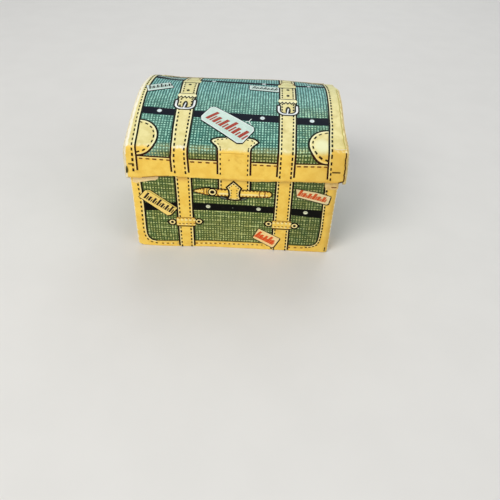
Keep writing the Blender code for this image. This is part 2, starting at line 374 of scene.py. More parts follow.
# Repeats, made by nodes
def scatter_tree(name, follow_path):
    """Puts a small box at each step of a path, or a small round disc at each point."""
    tree = bpy.data.node_groups.new(name, "GeometryNodeTree")
    face = tree.interface
    face.new_socket("Geometry", in_out="INPUT", socket_type="NodeSocketGeometry")
    for label, default in (("Pitch", 1.15), ("Length", 0.7), ("Width", 0.36), ("Thickness", 0.009),
                           ("Unevenness", 0.12)):
        face.new_socket(label, in_out="INPUT", socket_type="NodeSocketFloat").default_value = default
    face.new_socket("Sides", in_out="INPUT", socket_type="NodeSocketInt").default_value = 16
    face.new_socket("Seed", in_out="INPUT", socket_type="NodeSocketInt").default_value = 3
    face.new_socket("Material", in_out="INPUT", socket_type="NodeSocketMaterial")
    face.new_socket("Geometry", in_out="OUTPUT", socket_type="NodeSocketGeometry")
    add, join = tree.nodes.new, tree.links.new
    given = add("NodeGroupInput").outputs
    spread = add("GeometryNodeInstanceOnPoints")
    if follow_path:
        curve = add("GeometryNodeMeshToCurve")
        stepped = add("GeometryNodeResampleCurve")
        stepped.mode = "LENGTH"
        turn = add("FunctionNodeAlignRotationToVector")
        turn.axis = "X"
        turn.pivot_axis = "Z"
        join(given["Geometry"], curve.inputs["Mesh"])
        join(curve.outputs["Curve"], stepped.inputs["Curve"])
        join(given["Pitch"], stepped.inputs["Length"])
        join(add("GeometryNodeInputTangent").outputs["Tangent"], turn.inputs["Vector"])
        join(turn.outputs["Rotation"], spread.inputs["Rotation"])
        join(stepped.outputs["Curve"], spread.inputs["Points"])
    else:
        join(given["Geometry"], spread.inputs["Points"])
    if follow_path:
        mark = add("GeometryNodeMeshCube")
    else:
        mark = add("GeometryNodeMeshCylinder")
        mark.inputs["Radius"].default_value = 0.5
        mark.inputs["Depth"].default_value = 1.0
        join(given["Sides"], mark.inputs["Vertices"])
    join(mark.outputs["Mesh"], spread.inputs["Instance"])
    random_size = add("FunctionNodeRandomValue")
    random_size.data_type = "FLOAT"
    least = add("ShaderNodeMath")
    least.operation = "SUBTRACT"
    least.inputs[0].default_value = 1.0
    most = add("ShaderNodeMath")
    most.operation = "ADD"
    most.inputs[0].default_value = 1.0
    join(given["Unevenness"], least.inputs[1])
    join(given["Unevenness"], most.inputs[1])
    floats = [s for s in random_size.inputs if s.type == "VALUE" and s.enabled]
    join(least.outputs[0], floats[0])
    join(most.outputs[0], floats[1])
    join(given["Seed"], next(s for s in random_size.inputs if s.name == "Seed"))
    share = next(s for s in random_size.outputs if s.type == "VALUE" and s.enabled)
    size = add("ShaderNodeCombineXYZ")
    for axis, label in (("X", "Length"), ("Y", "Width")):
        product = add("ShaderNodeMath")
        product.operation = "MULTIPLY"
        join(given[label], product.inputs[0])
        join(share, product.inputs[1])
        join(product.outputs[0], size.inputs[axis])
    join(given["Thickness"], size.inputs["Z"])
    join(size.outputs["Vector"], spread.inputs["Scale"])
    real = add("GeometryNodeRealizeInstances")
    finish = add("GeometryNodeSetMaterial")
    join(spread.outputs["Instances"], real.inputs["Geometry"])
    join(real.outputs["Geometry"], finish.inputs["Geometry"])
    join(given["Material"], finish.inputs["Material"])
    join(finish.outputs["Geometry"], add("NodeGroupOutput").inputs["Geometry"])
    return tree


TREES = {True: scatter_tree("stitch_rows", True), False: scatter_tree("rivet_dots", False)}


def repeated(bm, rows, height, finish, follow_path, **sizes):
    """Runs the node tree on rows of points in the flat, and adds its mesh to bm."""
    seed_mesh = bpy.data.meshes.new("rows")
    points, edges = [], []
    for row in rows:
        first = len(points)
        points += [(u, v, height - FILM / 2) for u, v in row]
        if follow_path:
            edges += [(first + i, first + i + 1) for i in range(len(row) - 1)]
    seed_mesh.from_pydata(points, edges, [])
    holder = bpy.data.objects.new("rows", seed_mesh)
    bpy.context.scene.collection.objects.link(holder)
    modifier = holder.modifiers.new("Repeats", "NODES")
    modifier.node_group = TREES[follow_path]
    wanted = {"Thickness": FILM, "Material": finish, **sizes}
    for item in TREES[follow_path].interface.items_tree:
        if item.item_type == "SOCKET" and item.in_out == "INPUT" and item.name in wanted:
            modifier[item.identifier] = wanted[item.name]
    graph = bpy.context.evaluated_depsgraph_get()
    made = bpy.data.meshes.new_from_object(holder.evaluated_get(graph), depsgraph=graph)
    bm.from_mesh(made)
    bpy.data.objects.remove(holder)
    bpy.data.meshes.remove(made)


# Finishes
def linear(red, green, blue):
    """A screen colour, 0 to 255, as the renderer's linear colour."""
    parts = [c / 255 for c in (red, green, blue)]
    return (*[p / 12.92 if p <= 0.04045 else ((p + 0.055) / 1.055) ** 2.4 for p in parts], 1.0)


class Finish:
    """A node material with short ways to add the nodes that the finishes here share."""

    def __init__(self, name, roughness=0.55, specular=0.4):
        self.material = bpy.data.materials.new(name)
        self.material.use_nodes = True
        self.tree = self.material.node_tree
        self.shader = self.tree.nodes["Principled BSDF"]
        self.shader.inputs["Roughness"].default_value = roughness
        self.shader.inputs["Specular IOR Level"].default_value = specular

    def node(self, kind, settings=None, inputs=None):
        made = self.tree.nodes.new("ShaderNode" + kind)
        for key, value in (settings or {}).items():
            setattr(made, key, value)
        for key, value in (inputs or {}).items():
            self.feed(made.inputs[key], value)
        return made

    def feed(self, socket, value):
        if isinstance(value, bpy.types.NodeSocket):
            self.tree.links.new(value, socket)
        else:
            socket.default_value = value

    def drawn(self):
        """Where the point is on its flat sheet, in millimetres."""
        return self.node("Attribute", {"attribute_name": "print_mm"}).outputs["Vector"]

    def placed(self):
        """Where the point is on the trunk, in millimetres."""
        place = self.node("TexCoord").outputs["Object"]
        return self.node("VectorMath", {"operation": "SCALE"}, {0: place, "Scale": 1000.0}).outputs["Vector"]

    def parts(self, vector):
        made = self.node("SeparateXYZ", None, {"Vector": vector})
        return made.outputs["X"], made.outputs["Y"], made.outputs["Z"]

    def math(self, operation, first, second=0.0, third=0.0):
        made = self.node("Math", {"operation": operation})
        for socket, value in zip(made.inputs, (first, second, third)):
            self.feed(socket, value)
        return made.outputs["Value"]

    def between(self, value, low, high, out_low=0.0, out_high=1.0):
        made = self.node(
            "MapRange", {"interpolation_type": "SMOOTHSTEP", "clamp": True},
            {"Value": value, "From Min": low, "From Max": high, "To Min": out_low, "To Max": out_high},
        )
        return made.outputs["Result"]

    def noise(self, vector, scale, detail=2.0, rough=0.5):
        made = self.node("TexNoise", None, {"Vector": vector, "Scale": scale, "Detail": detail,
                                            "Roughness": rough})
        return made.outputs["Fac"]

    def mix(self, share, one, two, blend="MIX"):
        made = self.node("Mix", {"data_type": "RGBA", "blend_type": blend})
        self.feed(made.inputs[0], share)
        self.feed(made.inputs[6], one)
        self.feed(made.inputs[7], two)
        return made.outputs[2]

    def done(self, colour, rough=None, height=None, strength=0.3, distance=0.00003):
        self.feed(self.shader.inputs["Base Color"], colour)
        if rough is not None:
            self.feed(self.shader.inputs["Roughness"], rough)
        if height is not None:
            bump = self.node("Bump", None, {"Height": height, "Strength": strength, "Distance": distance})
            self.feed(self.shader.inputs["Normal"], bump.outputs["Normal"])
        return self.material


def paper_grain(f, place):
    """Fine fibre height and a soft mottle, shared by the printed finishes."""
    fibre = f.noise(place, 5.0, 4.0, 0.6)
    mottle = f.noise(place, 0.35, 3.0, 0.55)
    return fibre, mottle


def speckled(f, place, colour, dark, light, amount=0.35):
    """The print's fine dot screen: darker and lighter specks over a colour."""
    dots = f.noise(place, 3.1, 2.0, 0.7)
    down = f.between(dots, 0.62, 0.78, 0.0, amount)
    up = f.between(dots, 0.40, 0.24, 0.0, amount)
    return f.mix(up, f.mix(down, colour, dark), light)


GOLD = linear(255, 214, 94)
GOLD_DARK = linear(248, 202, 80)
# PALE and PALE_DARK colour the lid leather above the fold: paler partly from real fading, partly as painted sheen of
# the light from above.
PALE = linear(240, 228, 158)
PALE_DARK = linear(226, 212, 138)
BARE = linear(252, 246, 220)
RUST = linear(150, 92, 40)


def fade_and_sheen(f, place, softness, left_drop=0.0):
    """Where the print above the lid's front fold is paler and cooler, partly from real fading and partly as painted
    sheen of the light from above: 0 below the fold, 1 above it.
    """
    u, v, _ = f.parts(place)
    sink = f.math("ADD", f.between(u, -3.0, 15.0, -0.3, 0.45), f.between(u, 26.85, 26.95, 0.0, -1.65))
    sink = f.math("ADD", sink, f.between(u, -5.0, 5.0, left_drop, 0.0))
    wander = f.math("MULTIPLY_ADD", f.noise(place, 0.9, 3.0, 0.6), 1.3, -0.65)
    height = f.math("ADD", v, f.math("ADD", sink, wander))
    return f.between(height, -softness, softness)


def rubbed_fold(f, place, amount):
    """Patches along the front fold where the ink is worn away."""
    _, v, _ = f.parts(place)
    off = f.math("ABSOLUTE", f.math("SUBTRACT", v, 0.5))
    near = f.between(off, 0.9, 0.1)
    return f.math("MULTIPLY", near, f.between(f.noise(place, 0.6, 3.0, 0.6), 0.50, 0.66, 0.0, amount))


def leather_print(name, on_the_lid):
    """Golden printed leather, paler straw above the lid's fold (partly real fading, partly painted sheen), with
    painted shade, sheen and highlight in places, and worn at the rims.
    """
    f = Finish(name, 0.46, 0.35)
    place = f.drawn()
    u, v, _ = f.parts(place)
    fibre, mottle = paper_grain(f, place)
    gold = f.mix(f.between(mottle, 0.38, 0.66), GOLD, GOLD_DARK)
    colour = speckled(f, place, gold, linear(236, 184, 66), linear(255, 226, 130), 0.3)
    if on_the_lid:
        # The paler straw above the fold: partly real fading, partly painted sheen of the light from above.
        pale = f.mix(f.between(mottle, 0.35, 0.68), PALE, PALE_DARK)
        pale = speckled(f, place, pale, linear(216, 200, 116), linear(248, 242, 190), 0.35)
        # Painted shade: the lid leather darkens towards its right end, where the light falls off.
        shade = f.between(u, 15.0, 28.0, 0.0, 0.26)
        colour = f.mix(shade, colour, linear(176, 128, 52))
        fade_and_sheen_share = fade_and_sheen(f, place, 0.75)
        colour = f.mix(fade_and_sheen_share, colour, pale)
        # Painted sheen: paler and greener towards the top of the dome, which faces the light from above.
        colour = f.mix(f.between(v, 14.0, 40.0, 0.0, 0.35), colour, linear(222, 228, 172))
        colour = f.mix(rubbed_fold(f, place, 0.85), colour, linear(252, 240, 188))
        near_fold = f.between(f.math("ABSOLUTE", f.math("SUBTRACT", v, 0.3)), 1.3, 0.2)
        on_strap = f.between(f.math("ABSOLUTE", f.math("ADD", u, 15.6)), 3.0, 1.6)
        scuffed = f.between(f.noise(place, 1.0, 3.0, 0.6), 0.42, 0.58, 0.0, 0.8)
        colour = f.mix(f.math("MULTIPLY", f.math("MULTIPLY", near_fold, on_strap), scuffed), colour,
                       linear(252, 248, 222))
        # Painted highlight: a pale greenish-white spot in the right front patch, where the fold catches the light.
        across = f.math("DIVIDE", f.math("SUBTRACT", u, 24.2), 2.4)
        upward = f.math("DIVIDE", f.math("SUBTRACT", v, 2.4), 2.6)
        far = f.math("ADD", f.math("POWER", across, 2.0), f.math("POWER", upward, 2.0))
        colour = f.mix(f.between(far, 1.4, 0.1, 0.0, 0.75), colour, linear(244, 248, 200))
        # Darker and browner along the lip's lower edge: partly grime, partly painted shade.
        hem = f.math("SUBTRACT", v, f.math("MULTIPLY_ADD", u, 0.0262, -9.6))
        colour = f.mix(f.between(hem, 0.9, 0.1, 0.0, 0.4), colour, linear(206, 142, 52))
    else:
        # Painted shadow: darker and redder just under the lid's lip, more so to the left.
        under = f.math("MULTIPLY", f.between(v, 23.8, 25.6), f.between(u, -10.0, -20.0, 0.1, 0.45))
        colour = f.mix(under, colour, linear(206, 128, 66))
        # Painted shade: darker towards the right, where the light falls off, and darker still over the rounded right
        # corner.
        colour = f.mix(f.between(u, 8.0, 26.0, 0.0, 0.2), colour, linear(176, 128, 52))
        colour = f.mix(f.between(u, 28.2, 30.0, 0.0, 0.35), colour, linear(164, 128, 62))
    side = f.math("ABSOLUTE", u)
    frayed = f.math("MULTIPLY_ADD", f.noise(place, 1.1, 4.0, 0.65), 0.8, side)
    rim = 30.15
    if on_the_lid:
        rim = f.math("MAXIMUM", f.between(v, -0.6, 0.4, 31.1, 30.65), f.between(u, -1.0, 1.0, 30.0, 31.4))
    worn = f.between(f.math("SUBTRACT", frayed, rim), 0.0, 0.35)
    if not on_the_lid:
        worn = f.math("MULTIPLY", worn, f.between(side, 31.0, 30.55))
    colour = f.mix(worn, colour, BARE)
    stain = f.between(f.noise(place, 0.17, 4.0, 0.6), 0.56, 0.74, 0.0, 0.22)
    colour = f.mix(stain, colour, RUST, "MULTIPLY")
    flecks = f.between(f.noise(place, 1.9, 1.0, 0.3), 0.80, 0.86, 0.0, 0.55)
    colour = f.mix(flecks, colour, linear(120, 84, 40))
    rough = f.between(mottle, 0.2, 0.8, 0.40, 0.56)
    return f.done(colour, rough, fibre, 0.25)


def tint_print(name, colour, darker, fade_and_sheen_colour=None):
    """A light printed tint: edging beside the outlines, labels, rivets and buckles."""
    f = Finish(name, 0.48, 0.35)
    place = f.drawn()
    fibre, mottle = paper_grain(f, place)
    mixed = f.mix(f.between(mottle, 0.3, 0.7, 0.0, 0.7), colour, darker)
    mixed = speckled(f, place, mixed, darker, linear(255, 248, 222), 0.3)
    # Above the lid's fold the tint turns to the given paler colour: partly real fading, partly painted sheen of the
    # light from above.
    if fade_and_sheen_colour:
        mixed = f.mix(fade_and_sheen(f, place, 0.4), mixed, fade_and_sheen_colour)
        mixed = f.mix(rubbed_fold(f, place, 0.7), mixed, linear(255, 246, 206))
    return f.done(mixed, f.between(mottle, 0.2, 0.8, 0.42, 0.58), fibre, 0.25)


def stretched(f, vector, along_u, along_v):
    made = f.node("VectorMath", {"operation": "MULTIPLY"}, {0: vector, 1: (along_u, along_v, 1.0)})
    return made.outputs["Vector"]


def canvas_print(name, on_the_lid):
    """Woven canvas as the print shows it: light slubs on a darker ground, in uneven rows both ways."""
    f = Finish(name, 0.5, 0.32)
    place = f.drawn()
    fibre, mottle = paper_grain(f, place)
    shove = f.node("TexNoise", None, {"Vector": place, "Scale": 0.55, "Detail": 2.0})
    offset = f.node("VectorMath", {"operation": "SUBTRACT"}, {0: shove.outputs["Color"], 1: (0.5, 0.5, 0.5)})
    far = f.node("VectorMath", {"operation": "SCALE"}, {0: offset.outputs["Vector"], "Scale": 0.45})
    warped = f.node("VectorMath", {"operation": "ADD"}, {0: place, 1: far.outputs["Vector"]}).outputs["Vector"]
    u, v, _ = f.parts(warped)
    real_u, real_v, _ = f.parts(place)
    pitch_u, pitch_v = (0.83, 0.92) if on_the_lid else (0.84, 0.84)
    across = f.between(f.math("COSINE", f.math("MULTIPLY", u, 2 * math.pi / pitch_u)), -0.45, 0.5)
    down = f.between(f.math("COSINE", f.math("MULTIPLY", v, 2 * math.pi / pitch_v)), -0.45, 0.5)
    cell = f.node("CombineXYZ", None, {
        "X": f.math("ROUND", f.math("DIVIDE", u, pitch_u)),
        "Y": f.math("ROUND", f.math("DIVIDE", v, pitch_v)),
    }).outputs["Vector"]
    luck = f.node("TexWhiteNoise", None, {"Vector": cell}).outputs["Value"]
    upright = f.between(f.noise(stretched(f, place, 0.95, 0.3), 1.0, 2.0, 0.5), 0.46, 0.64)
    level = f.between(f.noise(stretched(f, place, 0.3, 0.95), 1.0, 2.0, 0.5), 0.50, 0.66)
    if on_the_lid:
        upright = f.math("MAXIMUM", f.math("MULTIPLY", upright, 0.8), f.between(real_v, 15.0, 24.0, 0.0, 0.85))
        level = f.math("MULTIPLY", level, 0.55)
    dots = f.math("MULTIPLY", across, down)
    threads = f.math("MAXIMUM", f.math("MULTIPLY", across, f.math("MULTIPLY", upright, 0.75)),
                     f.math("MULTIPLY", down, f.math("MULTIPLY", level, 0.7)))
    slub = f.math("MULTIPLY", f.math("MAXIMUM", dots, threads), f.math("MULTIPLY_ADD", luck, 0.6, 0.45))
    if not on_the_lid:
        beat = f.between(f.math("COSINE", f.math("MULTIPLY", v, 2 * math.pi / 1.56)), -0.6, 0.6, 0.55, 1.2)
        slub = f.math("MULTIPLY", slub, beat)
    if on_the_lid:
        # Olive on the lip and teal above the fold: partly real fading, partly painted cool sheen of the light from
        # above.
        fade_and_sheen_share = fade_and_sheen(f, place, 0.9, 1.2)
        ground = f.mix(fade_and_sheen_share, linear(74, 84, 26), linear(44, 104, 92))
        thread = f.mix(fade_and_sheen_share, linear(132, 140, 66), linear(102, 166, 148))
        light = f.mix(fade_and_sheen_share, linear(206, 206, 134), linear(178, 232, 208))
        # Painted sheen: bluer towards the top of the dome, which faces the light from above.
        top = f.between(real_v, 14.0, 32.0)
        ground = f.mix(top, ground, linear(36, 100, 96))
        thread = f.mix(top, thread, linear(104, 172, 164))
        light = f.mix(top, light, linear(160, 222, 212))
        # Painted sheen, not wear: a pale grey band near the rear edge on both sides of the dome, where the surface
        # turns away and catches the light.
        side = f.math("MAXIMUM", f.between(real_u, -18.0, -22.0, 0.0, 0.8), f.between(real_u, 19.5, 23.0))
        wander = f.math("MULTIPLY_ADD", f.noise(place, 0.5, 3.0, 0.6), 3.0, real_v)
        rear_sheen = f.math("MULTIPLY", side, f.between(wander, 41.5, 43.0, 0.0, 0.75))
        rear_sheen = f.math("MULTIPLY", rear_sheen, f.between(real_v, 50.0, 46.0))
        ground = f.mix(rear_sheen, ground, linear(140, 160, 154))
        thread = f.mix(rear_sheen, thread, linear(172, 182, 174))
        light = f.mix(rear_sheen, light, linear(192, 198, 188))
        # A paler, yellower band along the front fold: partly a worn crease, partly painted highlight on the crease.
        haze = f.between(f.math("ABSOLUTE", f.math("SUBTRACT", real_v, 0.4)), 1.8, 0.1, 0.0, 0.75)
        thread = f.mix(haze, thread, linear(214, 208, 132))
        ground = f.mix(f.math("MULTIPLY", haze, 0.6), ground, linear(138, 140, 76))
        greener = f.math("MULTIPLY", f.between(real_u, 13.0, 20.0), f.between(real_v, 22.0, 15.0, 0.0, 0.5))
        ground = f.mix(greener, ground, linear(52, 92, 40))
        light = f.mix(greener, light, linear(196, 222, 156))
        # Painted light: lighter and cooler on the lower left of the dome, where the light falls strongest.
        low_left = f.math("MULTIPLY", f.between(real_u, -18.0, -26.0), f.between(real_v, 15.0, 3.0))
        ground = f.mix(f.math("MULTIPLY", low_left, 0.75), ground, linear(112, 162, 142))
        thread = f.mix(f.math("MULTIPLY", low_left, 0.7), thread, linear(168, 206, 182))
    else:
        ground = f.mix(f.between(mottle, 0.3, 0.7), linear(62, 88, 38), linear(80, 96, 32))
        thread = f.mix(f.between(mottle, 0.3, 0.7), linear(126, 146, 78), linear(140, 148, 68))
        light = f.mix(f.between(mottle, 0.3, 0.7), linear(204, 214, 146), linear(216, 214, 132))
        du = f.math("POWER", f.math("DIVIDE", f.math("ADD", real_u, 1.0), 13.0), 2.0)
        dv = f.math("POWER", f.math("DIVIDE", f.math("SUBTRACT", real_v, 7.0), 6.0), 2.0)
        bleached = f.between(f.math("ADD", du, dv), 1.5, 0.0, 0.0, 0.4)
        ground = f.mix(bleached, ground, linear(104, 112, 48))
        thread = f.mix(bleached, thread, linear(182, 182, 104))
    dark = f.between(f.noise(place, 1.1, 3.0, 0.7), 0.52, 0.68, 0.0, 0.5)
    ground = f.mix(dark, ground, linear(26, 52, 36))
    colour = f.mix(f.between(slub, 0.04, 0.38), ground, thread)
    colour = f.mix(f.between(slub, 0.36, 0.74), colour, light)
    patchy = f.between(mottle, 0.34, 0.70, 0.0, 0.18)
    colour = f.mix(patchy, colour, linear(56, 84, 52))
    if not on_the_lid:
        # Painted shade: darker towards the right, where the light falls off.
        colour = f.mix(f.between(real_u, 8.0, 24.0, 0.0, 0.3), colour, linear(32, 38, 14))
    return f.done(colour, f.between(mottle, 0.2, 0.8, 0.42, 0.58), f.math("ADD", fibre, slub), 0.2)


def ink_print(name, colour, fleck, roughness=0.5, amount=0.5, fade_and_sheen_colour=None, gloss=0.18):
    """A solid printed ink, broken by pinholes and a slightly uneven lay-down."""
    f = Finish(name, roughness, gloss)
    place = f.drawn()
    fibre, mottle = paper_grain(f, place)
    # Above the lid's fold the ink turns to the given colour: partly real fading, partly painted cool sheen of the
    # light from above.
    if fade_and_sheen_colour:
        colour = f.mix(fade_and_sheen(f, place, 0.5), colour, fade_and_sheen_colour)
    holes = f.between(f.noise(place, 2.6, 3.0, 0.7), 0.64, 0.80, 0.0, amount)
    mixed = f.mix(holes, colour, fleck)
    mixed = f.mix(f.between(mottle, 0.4, 0.8, 0.0, 0.2), mixed, fleck)
    return f.done(mixed, f.between(mottle, 0.2, 0.8, roughness - 0.05, roughness + 0.1), fibre, 0.15)


def bare_card(name, light, dark, scale=1.0, hem=None):
    """Unprinted grey-cream card: pulp mottle, long fibres, a few dark specks and a soft bump."""
    f = Finish(name, 0.86, 0.2)
    place = f.placed()
    mottle = f.noise(place, 0.5 * scale, 4.0, 0.6)
    long_way = f.node("VectorMath", {"operation": "MULTIPLY"}, {0: place, 1: (0.5, 2.4, 2.4)}).outputs["Vector"]
    fibres = f.noise(long_way, 2.2 * scale, 5.0, 0.65)
    colour = f.mix(f.between(mottle, 0.3, 0.7), light, dark)
    colour = f.mix(f.between(fibres, 0.45, 0.75, 0.0, 0.5), colour, dark)
    specks = f.between(f.noise(place, 2.4, 1.0, 0.4), 0.76, 0.84, 0.0, 0.6)
    colour = f.mix(specks, colour, linear(120, 100, 74))
    # A hem colour, given only for the lid paper's edges, covers the card away from the ends and the top: darker and
    # browner along the lip's lower edge, partly grime and partly painted shade.
    if hem:
        x, _, z = f.parts(place)
        away = f.math("MAXIMUM", f.between(f.math("ABSOLUTE", x), 28.3, 29.3), f.between(z, 29.0, 31.0))
        colour = f.mix(away, hem, colour)
    return f.done(colour, f.between(mottle, 0.2, 0.8, 0.8, 0.94), fibres, 0.5, 0.00005)


FINISHES = {
    "base_leather": leather_print("printed_leather_base", False),
    "lid_leather": leather_print("printed_leather_lid", True),
    "base_canvas": canvas_print("printed_canvas_base", False),
    "lid_canvas": canvas_print("printed_canvas_lid", True),
    "base_edging": tint_print("printed_edging_base", linear(255, 234, 160), linear(252, 222, 130)),
    # lid_edging, lid_ink and lid_stitch end with their colour above the lid's fold: partly real fading, partly painted
    # cool sheen.
    "lid_edging": tint_print("printed_edging_lid", linear(255, 226, 134), linear(252, 214, 112),
                             linear(250, 244, 190)),
    "base_slat": ink_print("slat_black", linear(9, 9, 7), linear(38, 36, 30), 0.56, 0.25, None, 0.08),
    "lid_slat": ink_print("slat_blue_black", linear(12, 17, 30), linear(40, 52, 68), 0.56, 0.25, None, 0.08),
    "base_ink": ink_print("outline_ink_base", linear(20, 13, 6), linear(72, 50, 26), 0.52, 0.25, None, 0.1),
    "lid_ink": ink_print("outline_ink_lid", linear(48, 16, 6), linear(84, 56, 30), 0.52, 0.25,
                         linear(14, 26, 18), 0.1),
    "stitch": ink_print("stitch_ink", linear(40, 30, 10), linear(92, 68, 30), 0.52, 0.3, None, 0.1),
    "lid_stitch": ink_print("stitch_ink_lid", linear(44, 24, 4), linear(96, 66, 26), 0.52, 0.3,
                            linear(16, 28, 14), 0.1),
    "lip_stitch": ink_print("lip_stitch_ink", linear(120, 68, 12), linear(170, 110, 40), 0.52, 0.3),
    "foot_ink": ink_print("foot_line_ink", linear(96, 84, 34), linear(150, 130, 62), 0.52, 0.4),
    "fold_line": ink_print("fold_line_ink", linear(204, 150, 54), linear(232, 184, 80), 0.52, 0.4),
    "smudge": ink_print("dark_smudge", linear(58, 56, 28), linear(120, 108, 60), 0.5, 0.4),
    "rivet_dot": ink_print("rivet_centre", linear(170, 185, 180), linear(196, 204, 198)),
    # Painted shade: a darker, tan copy of the torn paper, for the torn spot on the right under the lip.
    "torn_dark": bare_card("torn_paper_right", linear(236, 206, 138), linear(218, 180, 108), 2.0),
    "olive": ink_print("thin_olive_ink", linear(186, 172, 78), linear(212, 198, 116), 0.5, 0.4),
    "brown": ink_print("thin_brown_ink", linear(124, 72, 26), linear(176, 120, 54), 0.5, 0.4),
    "rivet": tint_print("rivet_print", linear(228, 240, 242), linear(204, 220, 222)),
    "rivet_rim": ink_print("rivet_shade", linear(96, 104, 90), linear(130, 132, 112)),
    "base_rivet": tint_print("rivet_print_base", linear(240, 240, 206), linear(214, 216, 176)),
    "steel": tint_print("buckle_print", linear(250, 252, 248), linear(206, 214, 216)),
    "mint": tint_print("label_mint", linear(208, 230, 217), linear(186, 214, 202)),
    "white": tint_print("label_white", linear(238, 246, 242), linear(218, 232, 226)),
    "rose": tint_print("label_rose", linear(255, 225, 160), linear(252, 206, 124)),
    "amber": tint_print("label_amber", linear(255, 222, 124), linear(244, 206, 100)),
    "sand": tint_print("label_sand", linear(240, 220, 166), linear(218, 198, 142)),
    "red": ink_print("label_red", linear(165, 62, 45), linear(200, 120, 98), 0.5, 0.4),
    "brick": ink_print("label_brick", linear(205, 85, 35), linear(228, 140, 78), 0.5, 0.4),
    "orange": ink_print("label_orange", linear(225, 85, 30), linear(240, 140, 66), 0.5, 0.4),
    "black": ink_print("label_black", linear(28, 18, 14), linear(80, 66, 50), 0.5, 0.3),
    "torn": bare_card("torn_paper", linear(255, 228, 170), linear(244, 210, 146), 2.0),
    "core": bare_card("paper_core", linear(248, 240, 208), linear(226, 212, 168), 2.0),
    # paper_core_lip: its last colour is the darker edge along the lip's foot, partly grime and partly painted shade.
    "lip_core": bare_card("paper_core_lip", linear(252, 246, 222), linear(232, 220, 180), 2.0, linear(206, 158, 76)),
    "card": bare_card("card_inside", linear(214, 196, 160), linear(190, 168, 128)),
    "board": bare_card("board_edge", linear(252, 246, 222), linear(230, 214, 174), 1.6),
    # Painted shade: a darker, tan copy of the board, for the right lid board's edge.
    "board_right": bare_card("board_edge_shaded", linear(234, 212, 148), linear(208, 178, 110), 1.6),
    "strip": bare_card("hinge_paper", linear(214, 206, 180), linear(184, 170, 136), 1.4),
}


# Printed sheets
class Print:
    """The ink on one sheet, gathered by layer and colour, and laid on the sheet at the end."""

    def __init__(self, name, body, slot, lay, cuts, family):
        self.name, self.body, self.slot = name, body, slot
        self.lay, self.cuts, self.family = lay, cuts, family
        self.layers = {}
        self.rows = []
        self.dots = []

    def layer(self, kind, finish):
        if (kind, finish) not in self.layers:
            self.layers[kind, finish] = bmesh.new()
        high = FILM * (ORDER.index(kind) + 1)
        return self.layers[kind, finish], high - FILM * 1.3, high

    def fill(self, kind, outline, finish=None):
        bm, low, high = self.layer(kind, self.finish_of(finish or kind))
        slab(bm, outline, low, high)

    def line(self, kind, points, width, closed=False, finish=None):
        bm, low, high = self.layer(kind, self.finish_of(finish or kind))
        band(bm, points, width, low, high, closed)

    def finish_of(self, word):
        word = {"patch": "leather", "fitting": "leather", "fitting_ink": "ink", "steel_ink": "ink",
                "label_shadow": "ink"}.get(word, word)
        return self.family + "_" + word if self.family + "_" + word in FINISHES else word

    def stitch(self, points, pitch=1.45, length=0.8, width=0.38, kind="stitch", finish=None):
        self.rows.append((points, pitch, length, width, kind, self.finish_of(finish or kind)))

    def rivet(self, points, width=1.5, height=1.15):
        self.dots.append((points, width, height))

    def lay_all(self):
        for i, (points, pitch, length, width, kind, finish) in enumerate(self.rows):
            bm, _, high = self.layer(kind, finish)
            repeated(bm, [points], high, FINISHES[finish], True, Pitch=pitch, Length=length, Width=width,
                     Seed=i)
        for points, width, height in self.dots:
            for kind, grow in (("rivet_rim", 0.3), ("rivet", 0.0)):
                bm, _, high = self.layer(kind, self.finish_of(kind))
                repeated(bm, [points], high, FINISHES[self.finish_of(kind)], False, Length=width + grow,
                         Width=height + grow, Sides=16, Unevenness=0.06)
        for (kind, finish), bm in self.layers.items():
            name = f"{self.name}_{kind}"
            if sum(k == kind for k, _ in self.layers) > 1:
                name += "_" + finish.replace(self.family + "_", "")
            for face in bm.faces:
                face.material_index = 0
            lay_object(name, bm, self.lay, self.cuts, [FINISHES[finish]], self.body)


def strap(sheet, left, right, pitches=(1.45, 1.35), offsets=(0.8, 0.85), dash=(0.78, 0.42)):
    """A printed strap between two upward edge paths: light edges, leather, outlines and stitches."""
    sheet.fill("edging", left + right[::-1])
    sheet.fill("leather", beside(left, -0.64) + beside(right, 0.64)[::-1])
    for path, side, pitch, offset in ((left, -1, pitches[0], offsets[0]), (right, 1, pitches[1], offsets[1])):
        sheet.line("ink", path, 0.54)
        sheet.stitch(beside(path, side * offset), pitch, *dash)


def straight(u0, v0, u1, v1, count=8):
    return [(u0 + (u1 - u0) * i / count, v0 + (v1 - v0) * i / count) for i in range(count + 1)]


def followed(table, places):
    """A path up a sheet, through the places of a table of (height, side)."""
    heights, sides = zip(*table)
    return [(float(np.interp(v, heights, sides)), v) for v in places]


